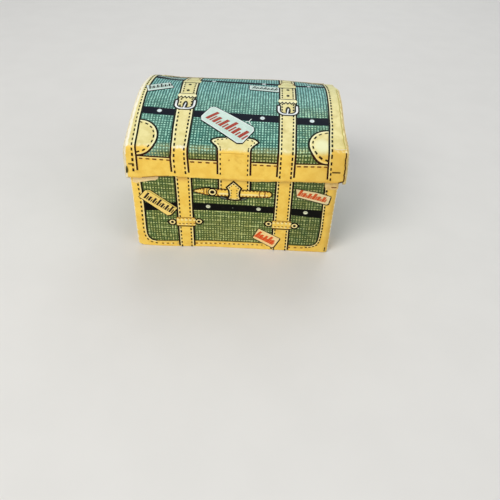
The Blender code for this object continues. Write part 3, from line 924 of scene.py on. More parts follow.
def keeper(sheet, u0, u1, v0, v1, lugs):
    """A stitched loop over a strap, pinned at both sides through an eyelet."""
    for centre, side in zip(lugs, (-1, 1)):
        lug = [(1.75, 0), (0.9, 1.0)] + arc((0, 0), (1.4, 1.27), 90, 270, 8) + [(0.9, -1.0)]
        sheet.fill("fitting_ink", moved([(side * u, v) for u, v in lug], centre))
        sheet.fill("fitting", arc(centre, (0.92, 0.8), 0, 345, 15), "edging")
        sheet.fill("steel_ink", arc(centre, (0.5, 0.46), 0, 345, 15), "ink")
    sheet.fill("fitting_ink", rounded(box(u0 - 0.12, v0 - 0.25, u1 + 0.12, v1 + 0.2), 0.45), "brown")
    sheet.line("fitting", [(u0 + 0.1, v0 - 0.28), (u1 - 0.1, v0 - 0.28)], 0.34, False, "ink")
    sheet.fill("steel_ink", rounded(box(u0, v0, u1, v1), 0.4), "leather")
    sheet.stitch([(u0 + 0.4, v1 - 0.75), (u1 - 0.2, v1 - 0.75)], 1.1, 0.72, 0.62, "steel", "edging")
    sheet.stitch([(u0 + 0.4, v0 + 0.35), (u1 - 0.2, v0 + 0.35)], 1.1, 0.6, 0.34, "steel", "edging")
    sheet.stitch([(u0 + 0.9, v1 - 0.3), (u1 - 0.2, v1 - 0.3)], 1.1, 0.6, 0.24, "steel", "brown")
    sheet.stitch([(u0 + 0.9, v0 + 0.72), (u1 - 0.2, v0 + 0.72)], 1.1, 0.62, 0.26, "steel", "brown")


def label(sheet, corners, finish, shadow=(0.3, -0.35), rim=None):
    """A pasted label with its outline and shadow, and with a thin light rim where one is named."""
    inward = 1 if area_of(corners) > 0 else -1
    sheet.fill("label_shadow", beside(corners, -0.2 * inward, True))
    sheet.fill("label_shadow", moved(corners, shadow))
    sheet.fill("label", corners, rim or finish)
    if rim:
        sheet.fill("label_tint", beside(corners, 0.28 * inward, True), finish)


def bars(sheet, start, end, height, count, width, finish, slant=0.25):
    """Plain slanted bars in a row, thick and thin by turns, where a label would carry a word."""
    a, b = Vector(start), Vector(end)
    way = (b - a).normalized()
    up = Vector((-way.y, way.x))
    step = (b - a).length / count
    for i in range(count):
        tall = height * (1.0, 0.7, 0.82)[i % 3]
        for offset, wide, share in ((0.32, width, 1.0), (0.82, width * 0.5, 0.62)):
            foot = a + way * step * (i + offset) - up * height / 2
            head = foot + up * tall * share + way * slant * tall * share
            points = [foot - way * wide / 2, foot + way * wide / 2, head + way * wide / 2, head - way * wide / 2]
            sheet.fill("mark", [tuple(p) for p in points], finish)


def base_wall(sheet, is_front):
    """Canvas, leather border, slat, straps and keepers on the front or the back wall."""
    top = WALL_TOP - 0.05 if is_front else BACK_TOP - 0.1
    left = [(-28.0, top), (-27.75, 22), (-27.55, 15.5), (-27.6, 6.8), (-27.5, 4.9), (-27.1, 3.5), (-26.2, 2.6),
            (-24.7, 2.25)]
    foot = [(-17.8, 2.4), (-12.1, 2.6), (1.8, 2.75), (7.4, 2.75), (18.0, 2.5)]
    right = [(23.2, 2.5), (24.9, 2.75), (26.0, 3.4), (26.6, 4.6), (26.8, 6.5), (26.9, 10.1), (26.75, 16.0),
             (26.5, 24.0), (26.3, top)]
    sheet.fill("canvas", left + foot + right)
    for path, away, pitch, width in ((left, 1.02, 1.5, 0.5), (right, 0.66, 1.13, 0.36)):
        sheet.line("edging", beside(path, -0.42), 0.4)
        sheet.line("ink", path, width)
        sheet.stitch(beside(path, -away), pitch, 0.74, 0.42)
    for row in (left[-1:] + foot[:1], [(-12.6, 2.58)] + foot[2:4] + [(12.1, 2.6)], [(17.4, 2.5), foot[-1], right[0]]):
        sheet.line("ink", row, 0.28, False, "foot_ink")
    for u0, u1, low, high in ((-22.9, -18.0, 1.2, 1.35), (-12.0, 12.0, 1.45, 1.95)):
        sheet.stitch([(u0, low), (u1, high)], 1.5, 0.62, 0.4, "stitch", "brown")
        sheet.stitch([(u0 + 0.75, low + 0.02), (u1, high)], 1.5, 0.5, 0.42, "stitch", "edging")
    sheet.stitch([(17.8, 1.45), (21.9, 1.55)], 1.4, 0.8, 0.36, "stitch", "brown")
    slat_top = [(-27.6, 16.35), (-18, 17.0), (-8, 17.2), (0, 17.1), (12, 17.0), (20, 16.75), (26.7, 16.5)]
    slat_low = [(26.8, 13.65), (20, 14.1), (12, 14.6), (0, 14.7), (-8, 14.6), (-18, 14.2), (-27.5, 13.55)]
    sheet.fill("slat", slat_top + slat_low)
    places = [(-8.0, 16.0), (7.4, 15.9), (21.8, 15.45)]
    sheet.rivet(places, 1.2, 1.0)
    for u, v in places:
        sheet.line("patch", arc((u, v - 0.1), (0.36, 0.28), 20, 160, 6), 0.16, False, "rivet_rim")
    sheet.fill("rivet", arc((-0.5, 15.9), (0.2, 0.2), 0, 330, 11), "rivet_rim")
    for sides, pitches, offsets in (
        (((-17.42, -17.75), (-12.65, -12.75)), (1.43, 1.3), (0.75, 0.92)),
        (((12.15, 12.2), (17.4, 17.1)), (1.27, 1.2), (0.74, 0.8)),
    ):
        (u0, u0_top), (u1, u1_top) = sides
        strap(sheet, straight(u0, 0.45, u0_top, top, 4), straight(u1, 0.45, u1_top, top, 4), pitches, offsets)
    keeper(sheet, -17.9, -12.2, 8.6, 11.45, ((-19.3, 9.75), (-11.0, 10.2)))
    keeper(sheet, 11.95, 17.65, 9.0, 11.75, ((10.75, 10.55), (18.85, 10.25)))


def handle(sheet):
    """The carrying handle drawn on the front: a stitched roll with collars, under a pointed shield."""
    low = [(-12.5, 21.25), (-11.2, 20.6), (-9.2, 20.2), (-7.0, 19.85), (-5.0, 19.75), (-4.2, 19.3), (-2.4, 18.75),
           (0, 18.5), (2.3, 18.75), (3.6, 19.35), (4.4, 19.95), (7.5, 20.05), (10.4, 20.1), (11.35, 20.75)]
    high = [(11.45, 21.9), (10.5, 22.6), (8.0, 22.7), (1.6, 22.75), (-5.2, 22.75), (-7.6, 23.05),
            (-9.3, 22.9), (-11.2, 22.3), (-12.45, 21.8)]
    sheet.fill("fitting_ink", low + high)
    roll = [(-12.2, 21.4), (-10.4, 20.85), (-8.6, 20.5), (-5.2, 20.2), (4.4, 20.25), (10.2, 20.4), (10.95, 21.0),
            (10.95, 21.8), (10.2, 22.35), (4.0, 22.4), (-5.2, 22.4), (-8.6, 22.55), (-10.8, 22.1)]
    sheet.fill("steel_ink", roll, "leather")
    sheet.fill("steel", [(-4.6, 20.65), (9.9, 20.8), (9.9, 21.3), (-4.6, 21.25)], "edging")
    sheet.stitch([(-11.6, 21.95), (-9.4, 22.2)], 0.7, 0.36, 0.34, "steel", "brown")
    sheet.stitch([(-11.3, 21.1), (-9.4, 20.75)], 0.7, 0.36, 0.34, "steel", "brown")
    sheet.stitch([(-11.6, 21.5), (-9.6, 21.45)], 0.62, 0.4, 0.3, "steel", "edging")
    sheet.stitch([(-4.9, 22.25), (9.9, 22.2)], 1.05, 0.6, 0.3, "steel", "brown")
    sheet.stitch([(-4.9, 20.4), (9.9, 20.55)], 1.05, 0.58, 0.34, "steel", "brown")
    for u, wide in ((-9.1, 0.26), (-8.25, 0.3), (-5.2, 0.3), (7.5, 0.3), (9.15, 0.34)):
        sheet.line("label_shadow", [(u + 0.06, 20.35), (u - 0.1, 21.4), (u + 0.06, 22.5)], wide, False, "brown")
    sheet.fill("label_shadow", arc((-6.65, 21.35), (1.4, 1.36), 0, 345, 15))
    sheet.line("label", arc((-6.65, 21.35), (0.86, 0.82), 0, 345, 23), 0.4, True, "edging")
    shade = [(-4.2, 19.75), (-2.4, 19.2), (0, 19.0), (2.3, 19.2), (3.6, 19.75)]
    sheet.line("steel", shade, 0.4, False, "rivet_rim")
    shield = [(-0.3, 25.75), (-2.7, 23.35), (-2.0, 22.1), (-1.85, 20.6), (-2.5, 19.15), (-1.2, 18.7), (0, 18.6),
              (1.2, 18.7), (2.2, 19.1), (1.65, 20.5), (1.75, 21.9), (2.35, 23.2)]
    shield = shield if area_of(shield) > 0 else shield[::-1]
    sheet.fill("label_shadow", shield)
    sheet.fill("label", beside(shield, 0.5, True), "edging")
    sheet.fill("label_tint", beside(shield, 0.8, True), "leather")
    for side in (-1, 1):
        sheet.line("mark", [(side * 1.72, 22.4), (side * 1.5, 20.6), (side * 1.8, 19.5)], 0.45, False, "ink")
    for row in ([(-1.55, 23.2), (-0.3, 24.5)], [(-0.2, 24.45), (1.1, 23.2)], [(-0.95, 22.3), (-1.05, 19.5)],
                [(0.7, 22.3), (0.85, 19.5)]):
        sheet.stitch(row, 0.8, 0.42, 0.28, "mark", "stitch")


def base_front(sheet):
    base_wall(sheet, True)
    top = WALL_TOP - 0.05
    strap(sheet, straight(-4.8, 21.4, -4.8, top, 4), straight(4.65, 21.6, 4.65, top, 4), (1.2, 1.2), (0.8, 0.8))
    sheet.line("ink", straight(4.75, 21.6, 4.75, top, 4), 0.6)
    handle(sheet)
    label(sheet, [(-26.8, 20.8), (-28.9, 18.4), (-20.7, 12.2), (-19.7, 12.4), (-17.55, 14.95), (-25.4, 20.9)], "amber",
          (0.25, -0.35))
    sheet.line("label_tint", [(-26.4, 20.5), (-25.6, 20.55), (-17.95, 14.85)], 0.35, False, "olive")
    bars(sheet, (-27.1, 19.3), (-18.7, 14.0), 2.5, 7, 0.62, "black", 0.1)
    label(sheet, [(18.2, 23.85), (18.7, 21.1), (27.7, 18.9), (28.2, 19.2), (28.65, 21.75), (24.2, 23.0)], "sand",
          (0.3, -0.3))
    bars(sheet, (18.8, 22.75), (27.5, 20.75), 2.2, 6, 0.85, "brick")
    label(sheet, [(7.8, 8.5), (6.05, 4.8), (12.3, 1.15), (12.8, 1.35), (14.6, 4.9)], "rose", (0.3, -0.3))
    bars(sheet, (7.0, 6.7), (13.0, 3.4), 2.8, 5, 0.85, "orange")
    sheet.fill("torn", [(-29.6, 23.5), (-29.1, 23.2), (-28.4, 23.65), (-26.4, 24.0), (-24.8, 24.45), (-23.4, 24.6),
                        (-22.5, 25.2), (-22.4, 26.4), (-29.5, 26.4)])
    # The right torn spot uses the darker copy of the torn paper: painted shade on the right, under the lip.
    sheet.fill("torn", [(26.3, 27.5), (26.4, 25.4), (26.8, 24.5), (27.2, 24.25), (27.6, 24.75), (28.3, 24.35),
                        (30.2, 24.3), (30.4, 27.5)], "torn_dark")
    sheet.line("over", [(28.4, 25.12), (29.6, 25.05)], 0.36, False, "brown")
    sheet.fill("over", arc((27.3, 23.6), (0.26, 0.24), 0, 330, 11), "ink")
    sheet.line("over", [(26.5, 24.8), (26.65, 22.9)], 0.4, False, "ink")
    sheet.line("ink", [(29.3, 0.6), (29.35, 2.2)], 0.25)


def base_end(sheet):
    """A plain end: leather border, canvas and the slat that runs on round the trunk."""
    half = 22.6
    inner = rounded([(-half + 2.2, 34.6), (-half + 2.2, 2.4), (half - 2.2, 2.4), (half - 2.2, 34.6)], [0, 4.6, 4.6, 0], 8)
    sheet.fill("canvas", inner)
    sheet.line("edging", beside(inner, -0.45), 0.45)
    sheet.line("ink", inner, 0.5)
    sheet.stitch(beside(inner, -1.12), 1.35)
    sheet.fill("slat", box(-half + 2.3, 14.1, half - 2.3, 16.9))
    sheet.rivet([(-14.5, 15.6), (0, 15.6), (14.5, 15.6)], 1.35, 1.1)


def dome_strap(sheet, left, right, pitches, offsets, middle, buckle_low, keeper_low, holes, loop):
    """One strap over the lip and the dome: its buckle, toothed keeper, holes, loop and rounded tip."""
    strap(sheet, left, right, pitches, offsets, (0.9, 0.46))
    half, bend = 2.72, 1.9
    ring = [(middle - half, buckle_low + 4.7)]
    ring += arc((middle - half + bend, buckle_low + 0.6 + bend), bend, 180, 270, 8)
    ring += arc((middle + half - bend, buckle_low + 0.6 + bend), bend, 270, 360, 8)
    ring += [(middle + half, buckle_low + 5.0)]
    sheet.line("steel_ink", ring, 1.5)
    for end in (ring[0], ring[-1]):
        sheet.fill("steel_ink", arc(end, (0.75, 0.9), 0, 345, 15))
    sheet.line("steel", ring, 0.56, False, "steel")
    sheet.fill("steel_ink", arc((middle + 0.05, buckle_low + 2.5), (0.78, 2.1), 0, 345, 15))
    sheet.line("steel", [(middle - 0.2, buckle_low + 0.9), (middle + 0.15, buckle_low + 3.5)], 0.4, False, "steel")
    low, high = keeper_low + 0.9, keeper_low + 3.3
    u0, u1 = middle - 2.85, middle + 2.75
    teeth = [(u0 - 0.1, high - 1.3)]
    notch = []
    for i in range(5):
        a, b = u0 + (u1 - u0) * i / 5, u0 + (u1 - u0) * (i + 1) / 5
        teeth += [(a + 0.1, low + 0.95), ((a + b) / 2, low)]
        notch += [(a + 0.05, low + 0.7), ((a + b) / 2, low - 0.25)]
    notch += [(u1 - 0.05, low + 0.7)]
    teeth += [(u1 - 0.1, low + 0.95), (u1 + 0.15, high - 1.2), (u1 - 0.3, high), (u0 + 0.3, high)]
    sheet.line("fitting_ink", [(u0 + 0.4, high + 0.2), (u1 - 0.4, high + 0.2)], 0.45)
    sheet.line("steel_ink", notch, 0.45, False, "smudge")
    sheet.fill("fitting", teeth, "lid_edging")
    sheet.line("steel_ink", [(u0 + 0.9, high - 0.75), (u1 - 0.9, high - 0.7)], 0.5, False, "lid_leather")
    for place in holes:
        sheet.fill("fitting_ink", arc(place, (0.5, 0.72), 0, 345, 15), "ink")
    sheet.line("fitting_ink", [(middle - 2.5, loop), (middle + 2.5, loop + 0.1)], 0.5)
    sheet.fill("fitting", rounded([(middle - 2.9, loop + 0.3), (middle + 2.7, loop + 0.4), (middle + 2.7, loop + 3.2),
                                   (middle - 2.9, loop + 3.0)], 0.5), "lid_leather")
    tip = [(middle - 2.2, loop + 3.3), (middle - 1.9, loop + 5.4), (middle - 0.9, loop + 7.2),
           (middle + 0.2, loop + 7.8), (middle + 1.2, loop + 7.2), (middle + 2.0, loop + 5.6),
           (middle + 2.3, loop + 3.6)]
    sheet.fill("fitting", tip, "lid_leather")
    sheet.line("steel_ink", tip, 0.32, False, "brown")


def patch(sheet, centre, size, first, last):
    """A leather patch, part of an ellipse against the border, with an arc of stitches."""
    edge = arc(centre, size, first, last, 24)
    sheet.fill("patch", edge if last - first > 150 else edge + [centre])
    sheet.line("edging", arc(centre, (size[0] - 0.45, size[1] - 0.45), first, last, 24), 0.45)
    sheet.line("ink", edge, 0.54)
    sheet.stitch(arc(centre, (size[0] - 1.1, size[1] - 1.1), first + 8, last - 5, 24), 1.7, 1.0, 0.42)


BAND = ((-28.2, -2.85), (-27.0, -2.9), (-18.0, -3.1), (-13.0, -3.28), (12.0, -3.28), (17.0, -3.15), (26.8, -2.8))
LEFT_BORDER = ((-8.0, -28.1), (-3.0, -27.95), (5.0, -27.95), (10.0, -28.15), (14.0, -28.2), (23.0, -28.6), (30.0, -28.8),
               (54.0, -28.9))
RIGHT_BORDER = ((-8.0, 26.75), (-3.0, 26.4), (0.0, 26.15), (3.0, 26.2), (6.0, 26.3), (11.0, 26.6), (14.7, 26.6), (18.5, 26.7),
                (24.3, 26.8), (31.8, 26.9), (36.3, 26.85), (54.0, 26.9))
STRAPS = (
    (((-8.0, -18.2), (-3.0, -18.3), (-1.0, -18.0), (2.4, -18.0), (7.0, -18.2), (12.0, -18.3), (26.0, -18.6),
      (35.0, -19.1), (54.0, -19.1)),
     ((-8.0, -13.2), (-2.5, -13.4), (3.0, -13.2), (12.5, -13.1), (26.5, -13.5), (36.0, -13.8), (54.0, -13.8))),
    (((-8.0, 12.2), (0.0, 12.15), (12.0, 12.1), (54.0, 12.1)),
     ((-8.0, 17.1), (1.0, 17.0), (5.0, 17.0), (12.0, 17.1), (54.0, 17.2))),
)
SLATS = (
    ((-28.3, 12.8, 16.0), (-22.0, 12.5, 15.7), (-10.3, 11.95, 14.95), (0.0, 11.75, 14.75), (11.7, 11.2, 14.4),
     (17.4, 10.75, 13.9), (26.6, 10.8, 14.2)),
    ((-28.8, 38.6, 41.4), (-24.3, 38.0, 40.7), (-20.7, 37.5, 40.1), (-12.8, 36.9, 39.3), (0.0, 36.1, 38.7),
     (11.5, 35.4, 37.4), (18.0, 35.2, 37.1), (26.8, 36.0, 38.4)),
)


def lid_top(sheet):
    """All the ink over the lip and the dome."""
    end = DOME_LENGTH - 0.25
    rear = DOME_LENGTH - 3.4
    places = steps_between(-7.7, end, 0.9) + [end]
    inner = [v for v in places if v > -2.7 and v < rear] + [rear]
    band_u, band_v = zip(*BAND)

    def lip_band(u0, u1):
        return [(u, float(np.interp(u, band_u, band_v))) for u in np.linspace(u0, u1, 7).tolist()]

    sheet.fill("canvas", lip_band(-28.0, 26.5) + followed(RIGHT_BORDER, inner) + followed(LEFT_BORDER, inner)[::-1])
    for table, side, away, bright in ((LEFT_BORDER, 1, 1.1, 0.45), (RIGHT_BORDER, -1, 0.82, 0.32)):
        path = followed(table, places)
        sheet.line("edging", beside(path, side * (0.26 + bright / 2)), bright)
        sheet.line("ink", path, 0.52)
        sheet.stitch(beside(path, side * away), 1.65, 0.9, 0.46)
    for u0, u1 in ((-27.6, -18.5), (-13.0, -5.1), (4.8, 12.0), (17.3, 26.2)):
        path = lip_band(u0, u1)
        sheet.line("edging", beside(path, -0.4), 0.42)
        sheet.line("ink", path, 0.42)
        sheet.stitch(beside(lip_band(u0 + 0.9, u1 - 0.4), -0.85), 1.8, 1.05, 0.42, "stitch", "lip_stitch")
    sheet.line("edging", [(-28.2, rear + 0.45), (26.2, rear + 0.45)], 0.45)
    sheet.line("ink", [(-28.6, rear), (26.4, rear)], 0.45)
    sheet.stitch([(-27, rear + 1.1), (25.6, rear + 1.1)], 1.75, 1.05, 0.36)
    for slat in SLATS:
        sheet.fill("slat", [(u, low) for u, low, _ in slat] + [(u, high) for u, _, high in slat[::-1]])
    front_rivets = [(-23.1, 14.3), (7.2, 13.0), (21.6, 12.6)]
    sheet.rivet(front_rivets + [(-9.3, 37.6), (7.1, 36.8), (21.7, 36.5)], 1.25, 1.3)
    for u, v in front_rivets[1:]:
        sheet.fill("patch", arc((u, v), (0.2, 0.2), 0, 330, 11), "rivet_dot")
    patch(sheet, (-28.0, 3.6), (5.9, 6.4), -90, 90)
    patch(sheet, (26.2, 2.75), (5.7, 5.7), 90, 270)
    patch(sheet, (-28.9, rear), (6.1, 6.5), -90, 0)
    patch(sheet, (26.4, rear), (6.0, 6.5), 180, 270)
    for edges, pitches, offsets, fittings in (
        (STRAPS[0], (1.75, 1.5), (0.95, 0.95), (-16.05, 15.25, 20.9, [(-16.3, 26.8), (-16.4, 32.0)], 34.2)),
        (STRAPS[1], (1.45, 1.45), (0.82, 0.85), (14.6, 14.6, 20.1, [(14.7, 26.2), (14.75, 31.1)], 32.9)),
    ):
        dome_strap(sheet, followed(edges[0], places), followed(edges[1], places), pitches, offsets, *fittings)
    stem = [(4.55, -7.7), (4.5, -3.5), (4.45, 0.1), (4.6, 1.0), (5.2, 1.9), (6.1, 2.7), (6.6, 3.15), (6.3, 3.7),
            (5.7, 4.2), (4.9, 4.55), (3.9, 4.7), (-2.6, 4.75), (-5.1, 4.45), (-6.6, 3.9), (-7.0, 3.1), (-6.2, 2.2),
            (-5.4, 1.5), (-5.0, 0.7), (-4.9, -0.5), (-4.9, -7.7)]
    inside = [(3.9, -7.7), (3.85, 0.1), (3.9, 1.2), (4.6, 2.3), (5.7, 3.2), (4.8, 3.9), (3.7, 4.1), (-2.6, 4.1),
              (-4.9, 3.8), (-6.2, 3.2), (-5.6, 2.6), (-4.7, 1.8), (-4.3, 0.7), (-4.25, -0.5), (-4.25, -7.7)]
    sheet.fill("edging", stem)
    sheet.fill("leather", inside)
    sheet.line("ink", stem, 0.54)
    sheet.stitch([(3.72, -7.5), (3.72, 0.3)], 1.35, 0.75, 0.38)
    sheet.stitch([(3.8, 1.0), (4.2, 1.8), (5.0, 2.6), (5.5, 3.3), (4.7, 3.75), (3.4, 3.95)], 1.05, 0.52, 0.36)
    sheet.stitch([(-4.1, -7.5), (-4.1, 0.4)], 1.35, 0.75, 0.38)
    sheet.stitch([(-4.2, 1.2), (-4.8, 2.2), (-5.9, 3.1), (-5.2, 3.7), (-2.6, 4.15)], 1.05, 0.52, 0.34)
    sheet.line("ink", [(-3.9, -0.75), (-1.2, -0.7), (0.6, -0.75), (2.6, -0.7)], 0.14, False, "fold_line")
    sheet.fill("ink", arc((-1.6, -3.0), (0.26, 0.3), 0, 330, 11), "fold_line")
    label(sheet, [(-10.6, 12.5), (-10.4, 10.9), (0.4, 2.85), (2.0, 2.95), (3.4, 5.0), (4.95, 7.4), (4.8, 8.8), (-6.9, 17.1),
                  (-8.2, 16.9)], "mint", (0.0, -0.45), "white")
    bars(sheet, (-8.4, 13.8), (3.2, 5.6), 4.2, 6, 1.05, "red")
    sheet.line("mark", [(2.4, 11.0), (3.4, 11.2), (4.0, 12.3)], 0.22, False, "white")
    sheet.line("mark", [(3.4, 11.2), (3.9, 9.9)], 0.22, False, "white")
    label(sheet, [(-29.8, 29.0), (-28.4, 25.0), (-21.1, 28.4), (-23.0, 32.9)], "mint", (0.0, -0.45), "white")
    bars(sheet, (-29.1, 27.6), (-22.4, 31.0), 2.9, 6, 0.52, "black")
    label(sheet, [(2.6, 34.2), (2.7, 29.8), (11.85, 28.7), (11.85, 32.8)], "mint", (0.0, -0.45), "white")
    bars(sheet, (3.3, 32.1), (11.4, 31.0), 2.4, 7, 0.5, "black")
    sheet.line("over", [(-30.2, -5.7), (-29.1, -5.65)], 0.34, False, "ink")
    sheet.line("over", [(27.8, -5.3), (29.7, -5.25)], 0.34, False, "ink")
    sheet.fill("torn", [(-31.2, -8.6), (-30.95, -8.85), (-30.6, -8.4), (-30.5, -7.5), (-30.6, -6.7), (-30.85, -6.3),
                        (-30.85, -7.3), (-31.1, -7.6)], "smudge")
    # Painted shadow: a dark wobbly line along the right lip's paper edge, for the gap where the paper lifts off the
    # board.
    gap_shadow = [(30.68 + 0.7 * wobble(v, 2), v) for v in steps_between(-7.9, 0.3, 0.4)]
    sheet.line("torn", [(29.6, -8.66), (30.55, -8.12)] + gap_shadow, 0.3, False, "ink")
    upper = [(30.55 + 0.8 * wobble(v, 4), v) for v in steps_between(1.0, 34.0, 1.0)]
    sheet.line("torn", upper, 0.2, False, "olive")
    sheet.line("torn", [(27.6, 1.15), (29.2, 1.0), (30.95, 1.15)], 0.26, False, "core")
    # A thin brown line along the left of the lip's lower edge: partly grime, partly painted shade.
    sheet.line("torn", [(-27.0, -10.0), (-23.0, -9.45), (-19.0, -9.12)], 0.16, False, "brown")


def lid_end(sheet):
    """An arched end: leather rim round the arch, canvas, and stitches along the rim."""
    arch = arched(2.6, 30.0, 3.0)
    sheet.fill("canvas", arch)
    sheet.line("edging", beside(arch, -0.48, True), 0.55, True)
    sheet.line("ink", arch, 0.45, True)
    ring = beside(arch, -1.2, True)
    sheet.stitch(ring + ring[:1], 1.65, 0.85, 0.4)


def arched(inset, bottom, corner):
    """The arched outline of a lid end in the flat, this far inside the dome's face."""
    radius = DOME_RADIUS - inset
    half = -LIP_Y - inset
    top = [(half - half * 2 * i / 24) for i in range(25)]
    arch = [(u, DOME_CENTRE + math.sqrt(radius**2 - u**2)) for u in top]
    left = arc((-half + corner, bottom + corner), corner, 180, 270, 5)
    right = arc((half - corner, bottom + corner), corner, 270, 360, 5)
    return left + right + arch


# Papers, card and boards
LIP_EDGE = ((-31, -28, -23, -17.7, -12, -4.7, 1, 5.8, 12.5, 17.5, 26, 30),
            (25.6, 25.7, 26.4, 26.84, 26.64, 26.68, 26.5, 26.27, 26.73, 26.95, 27.08, 27.2))


def lip_edge(u):
    """Height of the lip's lower edge, which is uneven and runs up a little to the right."""
    return float(np.interp(u, *LIP_EDGE))


def wobble(value, seed):
    return 0.10 * math.sin(value * 1.7 + seed) + 0.07 * math.sin(value * 4.1 + seed * 2) + 0.04 * math.sin(value * 9.7)


LEFT_RIM = ((-10, 30.85), (-4, 30.95), (-1, 31.1), (6, 31.2), (60, 31.1))
RIGHT_RIM = ((-10, 31.15), (60, 31.15))


def lid_sheet_outline(narrow, low_shift, rough):
    """The lid strip in the flat, with its lower right corner clipped and its sides a little worn."""
    bottom = [(u, lip_edge(u) - FOLD_Z + low_shift + rough * 0.6 * wobble(u, 1)) for u in steps_between(-30, 29, 1)]
    sides = steps_between(-8.1, DOME_LENGTH - 1, 0.7)
    end = DOME_LENGTH - 0.02

    def rim(v, table):
        return float(np.interp(v, *zip(*table))) - narrow

    right = [(rim(v, RIGHT_RIM) + rough * (wobble(v, 2) - 0.12), v) for v in sides]
    left = [(-rim(v, LEFT_RIM) - rough * (wobble(v, 5) - 0.08), v) for v in sides[::-1]]
    start = lip_edge(-30) - FOLD_Z + low_shift
    bottom.append((29.8, bottom[-1][1] + 0.03))
    return bottom + right + [(rim(end, RIGHT_RIM), end), (-rim(end, LEFT_RIM), end)] + left + \
        [(-rim(start, LEFT_RIM), start + 0.4)]


def make_papers():
    bm = bmesh.new()
    slab(bm, lid_sheet_outline(0, 0, 1), -PAPER, 0, 0, 1)
    lay_object("lid_paper", bm, on_lid, LID_CUTS, [FINISHES["lid_leather"], FINISHES["lip_core"]], "lid",
               "lid_strip_paper")
    bm = bmesh.new()
    slab(bm, lid_sheet_outline(0.5, 0.12, 0.3), -PAPER - GLUE - CARD, -PAPER - GLUE)
    for side in (-1, 1):
        lid_tabs(side)
    lay_object("lid_card", bm, on_lid, LID_CUTS, [FINISHES["card"]], "lid", "lid_strip_board")
    # The right lid board takes the darker board finish: painted shade on the trunk's right end.
    for side, word, low, corner, thick, finish in (
        (-1, "left", 24.7, 1.1, 0.55, "board"), (1, "right", 26.3, 0.9, BOARD, "board_right"),
    ):
        bm = bmesh.new()
        slab(bm, arched(0.25, low, corner), -PAPER - GLUE - thick, -PAPER - GLUE)
        lay_object("lid_board_" + word, bm, on_lid_end(side), END_CUTS, [FINISHES[finish]], "lid",
                   "lid_end_board_" + word)
        bm = bmesh.new()
        slab(bm, arched(0.5, low + 0.15, corner), -PAPER, 0, 0, 1)
        lay_object("lid_end_print_" + word, bm, on_lid_end(side), END_CUTS,
                   [FINISHES["lid_leather"], FINISHES["core"]], "lid", "lid_end_paper_" + word)
    reach = QUARTER + CORNER * math.pi / 2 + 1.2
    for name, facing, wall_y, top, node in (
        ("base_front_sheet", -1, FRONT_Y, WALL_TOP, "base_front_paper"),
        ("base_back_sheet", 1, BACK_Y, BACK_TOP, "base_back_paper"),
    ):
        bm = bmesh.new()
        bottom = [(u, 0.08 + 0.4 * abs(wobble(u, 3))) for u in steps_between(-reach, reach, 1.2)]
        slab(bm, bottom + [(reach, 0.2), (reach, top), (-reach, top)], -PAPER, 0, 0, 1)
        lay_object(name, bm, on_wall(facing, wall_y), WALL_CUTS, [FINISHES["base_leather"], FINISHES["core"]],
                   "base", node)
    for side, word in ((-1, "left"), (1, "right")):
        bm = bmesh.new()
        centre = side * (FRONT_Y + BACK_Y) / 2
        slab(bm, [(u + centre, v) for u, v in box(-22.8, 0.15, 22.8, BACK_TOP)], -PAPER, 0, 0, 1)
        lay_object("base_end_print_" + word, bm, on_base_end(side), END_CUTS,
                   [FINISHES["base_leather"], FINISHES["core"]], "base", "base_end_paper_" + word)


def lid_tabs(side):
    """Glue tabs folded down inside the dome, one object for each end."""
    bm = bmesh.new()
    margin = 4.5 / DOME_RADIUS
    start = DOME_HALF - margin
    step = 2 * start / 6
    for i in range(6):
        low, high = (-start + step * i, -start + step * (i + 1))
        top = [low + 0.006 + (high - low - 0.012) * j / 4 for j in range(5)]
        upper = [((DOME_RADIUS - 0.6) * math.sin(a), DOME_CENTRE + (DOME_RADIUS - 0.6) * math.cos(a)) for a in top]
        floor = [(u, max(v - 3.9, 36.45)) for u, v in (upper[0], upper[-1])]
        outline = [(floor[0][0] + 0.45, floor[0][1]), (floor[1][0] - 0.45, floor[1][1])] + upper[::-1]
        outline = [(side * u, v) for u, v in outline]
        slab(bm, outline, -1.65, -1.17)
    lay_object("lid_tabs_" + ("right" if side > 0 else "left"), bm, on_lid_end(side), None, [FINISHES["card"]],
               "lid")


def make_boards():
    """The base's boards, taken from the card model, spread at their ends and knocked in at their corners."""
    for node, name, finish in (
        ("base_end_board_left", "base_board_left", "board"),
        ("base_end_board_right", "base_board_right", "board"),
        ("base_strip_board", "base_strip_card", "card"),
    ):
        bm = bmesh.new()
        bm.from_mesh(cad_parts[node].data)
        bmesh.ops.remove_doubles(bm, verts=bm.verts, dist=1e-6)
        for v in bm.verts:
            v.co = v.co / MM
        for axis, places in ((Vector((1, 0, 0)), [-28.9, 28.9] + steps_between(-28, 28, 4)),
                             (Vector((0, 1, 0)), steps_between(-12, 8, 2)),
                             (Vector((0, 0, 1)), [0.4, 0.9, 1.5, 2.2, 3.0] + steps_between(4, 26, 2) +
                              [26.5, 27.1, 27.7, 28.4, 29.0])):
            for place in places:
                geometry = bm.verts[:] + bm.edges[:] + bm.faces[:]
                bmesh.ops.bisect_plane(bm, geom=geometry, dist=1e-5, plane_co=axis * place, plane_no=axis)
        lay_object(name, bm, settle_boards, None, [FINISHES[finish]], "base", node)


